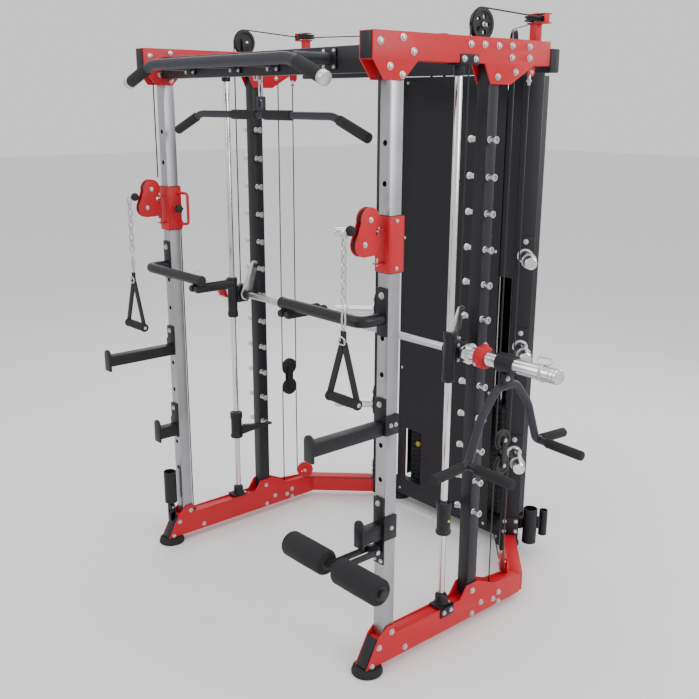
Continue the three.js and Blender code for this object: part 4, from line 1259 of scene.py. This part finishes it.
    def cables(self) -> None:
        """Every cable of this side."""
        x, (px, py, pz), n = SIDE_X, BRACE_WHEEL, math.sqrt(0.5)
        self.cable("column_cable", ((x, -28, 1605), (x, -28, 2048)),
                   self.node("trolley_body"), 2048, 1605)
        self.cable("return_cable", ((x, 68, 1397), (x, 68, 60)), self.node("trolley_body"),
                   60, 1397)
        self.cable("smith_cable", ((x, BAR_Y, 1118.5), (x, BAR_Y, 2132)), "smith_carriages",
                   2132, 1118.5)
        top = arc((x, BLOCK_Y, BLOCK_Z + 50.5), 40, 180, 360, 16)
        self.cable("upper_loop", [(x, BLOCK_Y - 40, 2048), *top, (x, BLOCK_Y + 40, 1984)],
                   self.node("floating_block_body"), 1980, 700)
        low = arc((x, BLOCK_Y, BLOCK_Z - 50.5), 40, 180, 0, 16)
        bend = [(px + 39 * math.cos(a) * n, py - 39 * math.cos(a) * n, pz - 39 * math.sin(a))
                for a in (math.radians(9 * i) for i in range(11))]
        self.cable("lower_loop", [(x, BLOCK_Y - 40, 60), *low, *bend, (306, 1009, pz - 39),
                                  (282, 1064, pz - 39)],
                   self.node("floating_block_body"), 200, 580)
        over = arc(CROWN, 51, 175, 92, 10)
        turn = [(TURN[0] + 43 * math.cos(a), TURN[1] + 43 * math.sin(a), TURN[2])
                for a in (math.radians(5 * i) for i in range(11))]
        px, py, pz = TOWER_WHEEL
        down = [(px - 50 * math.cos(a) * math.sin(WRAP), py + 50 * math.cos(a) * math.cos(WRAP),
                 pz + 50 * math.sin(a)) for a in (math.radians(90 - 9 * i) for i in range(11))]
        self.cable("counter_cable", [*over, (x, 414, 2188), *turn, *down,
                                     (down[-1][0], down[-1][1], 1998)])


# ---- training attachments -----------------------------------------------------------
@dataclass(frozen=True)
class Uprights(Sided):
    """What hangs on a front upright: dip handle, spotter arm and bar holder."""

    def tab(self, s: Solid, half: float, y0: float, y1: float, z0: float, z1: float) -> None:
        """A plate that stands across y, with its top rounded off.

        Args:
            s: The piece that takes it in.
            half: Half its width, and the radius of its top.
            y0: Its lowest y.
            y1: Its highest y.
            z0: Its lowest z.
            z1: Its highest z.
        """
        top = [(SIDE_X + p.y, z1 - half + p.z) for p in arc((0, 0, 0), half, 0, 180, 14)]
        at = Matrix(((0, 1, 0, 0), (1, 0, 0, 0), (0, 0, 1, 0), (0, 0, 0, 1)))
        s.plate(BLACK, [(SIDE_X - half, z0), (SIDE_X + half, z0), *top], y0, y1, 1.5, at)

    def dip(self) -> None:
        """The dip handle with its two grips."""
        s, x, z = self.solid("dip_tube"), SIDE_X, 1246
        s.box(BLACK, x - 23, x + 23, -5.5, -0.4, 1190, 1346)
        s.bolt((x, -5.5, 1320), (0, -1, 0), 9)
        s.tube(BLACK, ((x, -4, z), (x + 2, -92, z), (x - 395, -92, z)), 19, 40, around=10)
        s.rod(PLASTIC, (255, -92, z), (249, -92, z), 20)
        for g in (300, 262):
            s.tube(BLACK, ((g, -92, z - 14), (g, -92, z - 34)), 9)
            s.rod(BLACK, (g, -112, z - 34), (g, 60, z - 34), 12)
            s.rod(FOAM, (g, -108, z - 34), (g, 58, z - 34), 14, bevel=4)
        s.made(FRAME, self.node("dip_handle"))

    def spotter(self) -> None:
        """The spotter arm."""
        s, x = self.solid("spotter"), SIDE_X
        s.box(BLACK, x - 24, x + 24, -8, -0.4, 862, 985)
        s.box(BLACK, x - 21, x + 21, -296, -6, 862, 904, 3)
        s.box(PLASTIC, x - 19, x + 19, -294, -10, 902.5, 905)
        self.tab(s, 21, -304, -294, 842, 930)
        s.box(BLACK, X_OUT + 0.4, X_OUT + 6, -8, 50, 862, 930)
        s.bolt((x, -8, 965), (0, -1, 0), 8)
        for y in (14, 36):
            s.bolt((X_OUT + 6, y, 896), X, 6)
        s.made(FRAME, self.node("spotter_arm"))

    def cup(self) -> None:
        """The J-shaped bar holder."""
        s, x = self.solid("j_hook"), SIDE_X
        s.box(BLACK, x - 24, x + 24, -8, -0.4, 490, 640)
        s.box(BLACK, x - 22, x + 22, -92, -6, 498, 544, 2.5)
        s.box(PLASTIC, x - 20, x + 20, -86, -8, 542, 548, 2)
        self.tab(s, 22, -96, -87, 484, 583)
        s.box(BLACK, X_OUT + 0.4, X_OUT + 6, -8, 50, 490, 575)
        s.bolt((x, -8, 620), (0, -1, 0), 8)
        s.bolt((X_OUT + 6, 25, 532), X, 6)
        s.made(FRAME, self.node("j_cup"))


@dataclass(frozen=True)
class Attachments:
    """The shared attachments: bars, rollers, bar pivot and bar holder."""

    def pull_up(self) -> None:
        """The pull-up bar and the front crossbeam that it is bolted to."""
        beam = Solid("crossbeam")
        beam.box(BLACK, -619.6, 619.6, -4.8, 44.8, 1985.2, 2064.8, 3)
        for y in (10, 30):
            beam.tube(ZINC, ((-9, y - 10, 1986), (-9, y - 10, 1972), (9, y - 10, 1972),
                             (9, y - 10, 1986)), 3.4, 6)
        beam.made(FRAME, "front_crossbeam")
        s = Solid("pull_up_tube")
        for d in (1, -1):
            half = Solid("half", d)
            half.tube(TEXTURED, ((-1, -167, 2028), (404, -167, 2028), (575, -171, 1966)), 19,
                      30, around=8)
            half.tube(TEXTURED, ((110, -8, 2028), (110, -166, 2028)), 19, around=8)
            half.tube(TEXTURED, ((404, -8, 2028), (404, -160, 2028)), 19, around=8)
            half.rod(FOAM, (440, -168, 2015), (560, -171, 1971.5), 21.5, bevel=4)
            half.rod(ZINC, (560, -171, 1971.5), (582, -171.5, 1963.5), 22.5, bevel=3)
            for x in (110, 404):
                half.box(BLACK, x - 32, x + 32, -12, -5.2, 1996, 2060)
                for b, z in ((-24, 2005), (24, 2005), (-24, 2051), (24, 2051)):
                    half.bolt((x + b, -12, z), (0, -1, 0), 5)
            s.join(half)
        s.made(FRAME, "pull_up_bar")

    def lat(self) -> None:
        """The bent cable bar with its grips and carabiner."""
        s, y, z = Solid("cable_bar"), 20, 1856
        for d in (1, -1):
            half = Solid("half", d)
            half.tube(TEXTURED, ((-1, y, z), (386, y, z), (556, y, z - 64)), 13, 24, around=8)
            half.rod(FOAM, (20, y, z), (175, y, z), 17, bevel=4)
            half.rod(FOAM, (415, y, z - 11), (557, y, z - 64.4), 17, bevel=4)
            s.join(half)
        plate = Solid("lug").box(TEXTURED, -24, 24, y - 4, y + 4, z + 6, 1918, 2)
        s.join(plate.bore(Solid("gap").box(TEXTURED, -11, 11, y - 9, y + 9, 1882, 1906, 0)))
        ring = [(9 * math.cos(a), y, 1941 + 32 * math.sin(a) + 3 * math.sin(a) ** 3) for a in
                (k * math.tau / 24 for k in range(24))]
        s.tube(ZINC, ring, 3.4, closed=True)
        s.made("lat_bar_body", "lat_bar")

    def rollers(self) -> None:
        """The roller arm and its two foam rollers."""
        s, at = Solid("roller_fork"), (-203, 456)
        for x in (-24, 18):
            s.box(BLACK, SIDE_X + x, SIDE_X + x + 6, -213, -20, 444, 468, 2)
        s.rod(BLACK, (412, *at), (888, *at), 9)
        s.rod(ZINC, (SIDE_X - 26, -30, 456), (SIDE_X + 26, -30, 456), 6)
        for x in (-28, 28):
            s.rod(ZINC, (SIDE_X + x * 0.86, -30, 456), (SIDE_X + x, -30, 456), 9, sides=6)
        for x in (408, 885):
            s.rod(PLASTIC, (x, *at), (x + 7, *at), 17, bevel=2)
        s.made("roller_arm_body", "roller_arm")
        for name, x0, x1 in (("inner", 425, 620), ("outer", 680, 875)):
            f, half = Solid(f"{name}_foam"), (x1 - x0) / 2
            f.spin(FOAM, ((9.6, -half), (36, -half), (41, 3 - half), (44, 9 - half),
                          (44.6, 0), (44, half - 9), (41, half - 3), (36, half), (9.6, half),
                          (9.6, -half)), ((x0 + x1) / 2, *at), X, 64)
            for d in (-1, 1):
                f.spin(PLASTIC, ((9.4, 0), (24, 0), (23, 2), (9.4, 2.6), (9.4, 0)),
                       ((x0 + x1) / 2 + d * half, *at), (d, 0, 0), 32)
            f.made(f"{name}_roller_body", f"{name}_foam_roller")

    def holders(self) -> None:
        """The floor pivot for a bar end, and the holder for two bars."""
        s, x, y = Solid("bar_pivot"), -660, -38.5
        s.spin(BLACK, ((23, 0), (26, 0), (27, 1), (27, 145), (25.5, 146), (23, 145), (23, 4),
                       (0, 4), (0, 0), (23, 0)), (x, y, 184))
        s.box(BLACK, x - 6, x + 6, y - 12, y + 12, 152, 186, 2)
        s.made("landmine_body", "landmine_tube")
        h = Solid("two_tubes")
        for at, wall, bore, top in (((470, 1066, 58), 30, 26, 157), ((496, 1124, 85), 18, 14.5,
                                                                  115)):
            h.spin(BLACK, ((bore, 0), (wall - 1, 0), (wall, 1), (wall, top - 1),
                           (wall - 1, top), (bore, top), (bore, 5), (0, 5), (0, 0), (bore, 0)),
                   at)
        h.box(BLACK, 474, 496, 1088, 1112, 122, 168)
        h.box(BLACK, 416, 449, 1027, 1056, 122, 168)
        h.made(FRAME, "bar_holder")


# ---- scene --------------------------------------------------------------------------
@dataclass(frozen=True)
class Studio:
    """The camera, the lights and the floor."""

    place: tuple = (2.68975, -2.38191, 1.90062)
    turn: tuple = (74.280, -0.166, 49.018)
    lens: float = 47.320
    shift: tuple = (0.00725, 0.01558)
    lights: tuple = (((-0.4, -3.6, 3.4), 2.6, 45.0), ((3.8, 0.6, 3.0), 2.2, 70.0),
                     ((-3.0, 1.6, 3.2), 2.4, 30.0), ((0.4, 3.4, 2.4), 2.2, 35.0),
                     ((0.0, 0.0, 4.6), 3.0, 45.0))

    def camera(self) -> None:
        """The camera that the machine is shown from."""
        data = bpy.data.cameras.new("view")
        data.lens, data.sensor_width, data.clip_end = self.lens, 36.0, 60.0
        data.shift_x, data.shift_y = self.shift
        camera = bpy.data.objects.new("view", data)
        camera.location = self.place
        camera.rotation_euler = [math.radians(a) for a in self.turn]
        bpy.context.scene.collection.objects.link(camera)
        bpy.context.scene.camera = camera

    def light(self) -> None:
        """Soft lamps round the machine and a pale floor under it."""
        for i, (place, size, power) in enumerate(self.lights):
            data = bpy.data.lights.new(f"lamp_{i}", "AREA")
            data.shape, data.size, data.energy = "DISK", size, power
            lamp = bpy.data.objects.new(f"lamp_{i}", data)
            lamp.location = place
            aim = Vector((0, 0, 1.0)) - Vector(place)
            lamp.rotation_euler = aim.to_track_quat("-Z", "Y").to_euler()
            bpy.context.scene.collection.objects.link(lamp)
        world = bpy.data.worlds.new("studio")
        world.use_nodes = True
        world.node_tree.nodes["Background"].inputs["Color"].default_value = (1, 1, 1, 1)
        world.node_tree.nodes["Background"].inputs["Strength"].default_value = 0.95
        bpy.context.scene.world = world
        mesh = bpy.data.meshes.new("floor")
        mesh.from_pydata([(-30, -30, -0.001), (30, -30, -0.001), (30, 30, -0.001),
                          (-30, 30, -0.001)], [], [(0, 1, 2, 3)])
        graph = Graph("pale_floor")
        graph.put(graph.shader.inputs["Base Color"], (0.86, 0.86, 0.86, 1))
        graph.put(graph.shader.inputs["Roughness"], 0.7)
        mesh.materials.append(graph.material)
        floor = bpy.data.objects.new("floor", mesh)
        bpy.context.scene.collection.objects.link(floor)


def main() -> None:
    """Builds the whole scene in order."""
    logging.basicConfig(level=logging.INFO, format="%(message)s")
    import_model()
    studio = Studio()
    studio.camera()
    sides = (1, -1)
    for side in sides:
        CableColumn(side).cables()
    studio.light()
    Tower().build()
    SmithBar().build()
    for side in sides:
        frame, column, front = SideFrame(side), CableColumn(side), Uprights(side)
        steps = (frame.base, frame.top, frame.uprights, frame.rods, Guided(side).build,
                 column.trolley, column.swivel, column.handle, column.block, column.stack,
                 column.wheels, front.dip, front.spotter, front.cup)
        for step in steps:
            step()
    shared = Attachments()
    for step in (shared.pull_up, shared.lat, shared.rollers, shared.holders):
        step()


if __name__ == "__main__":
    main()
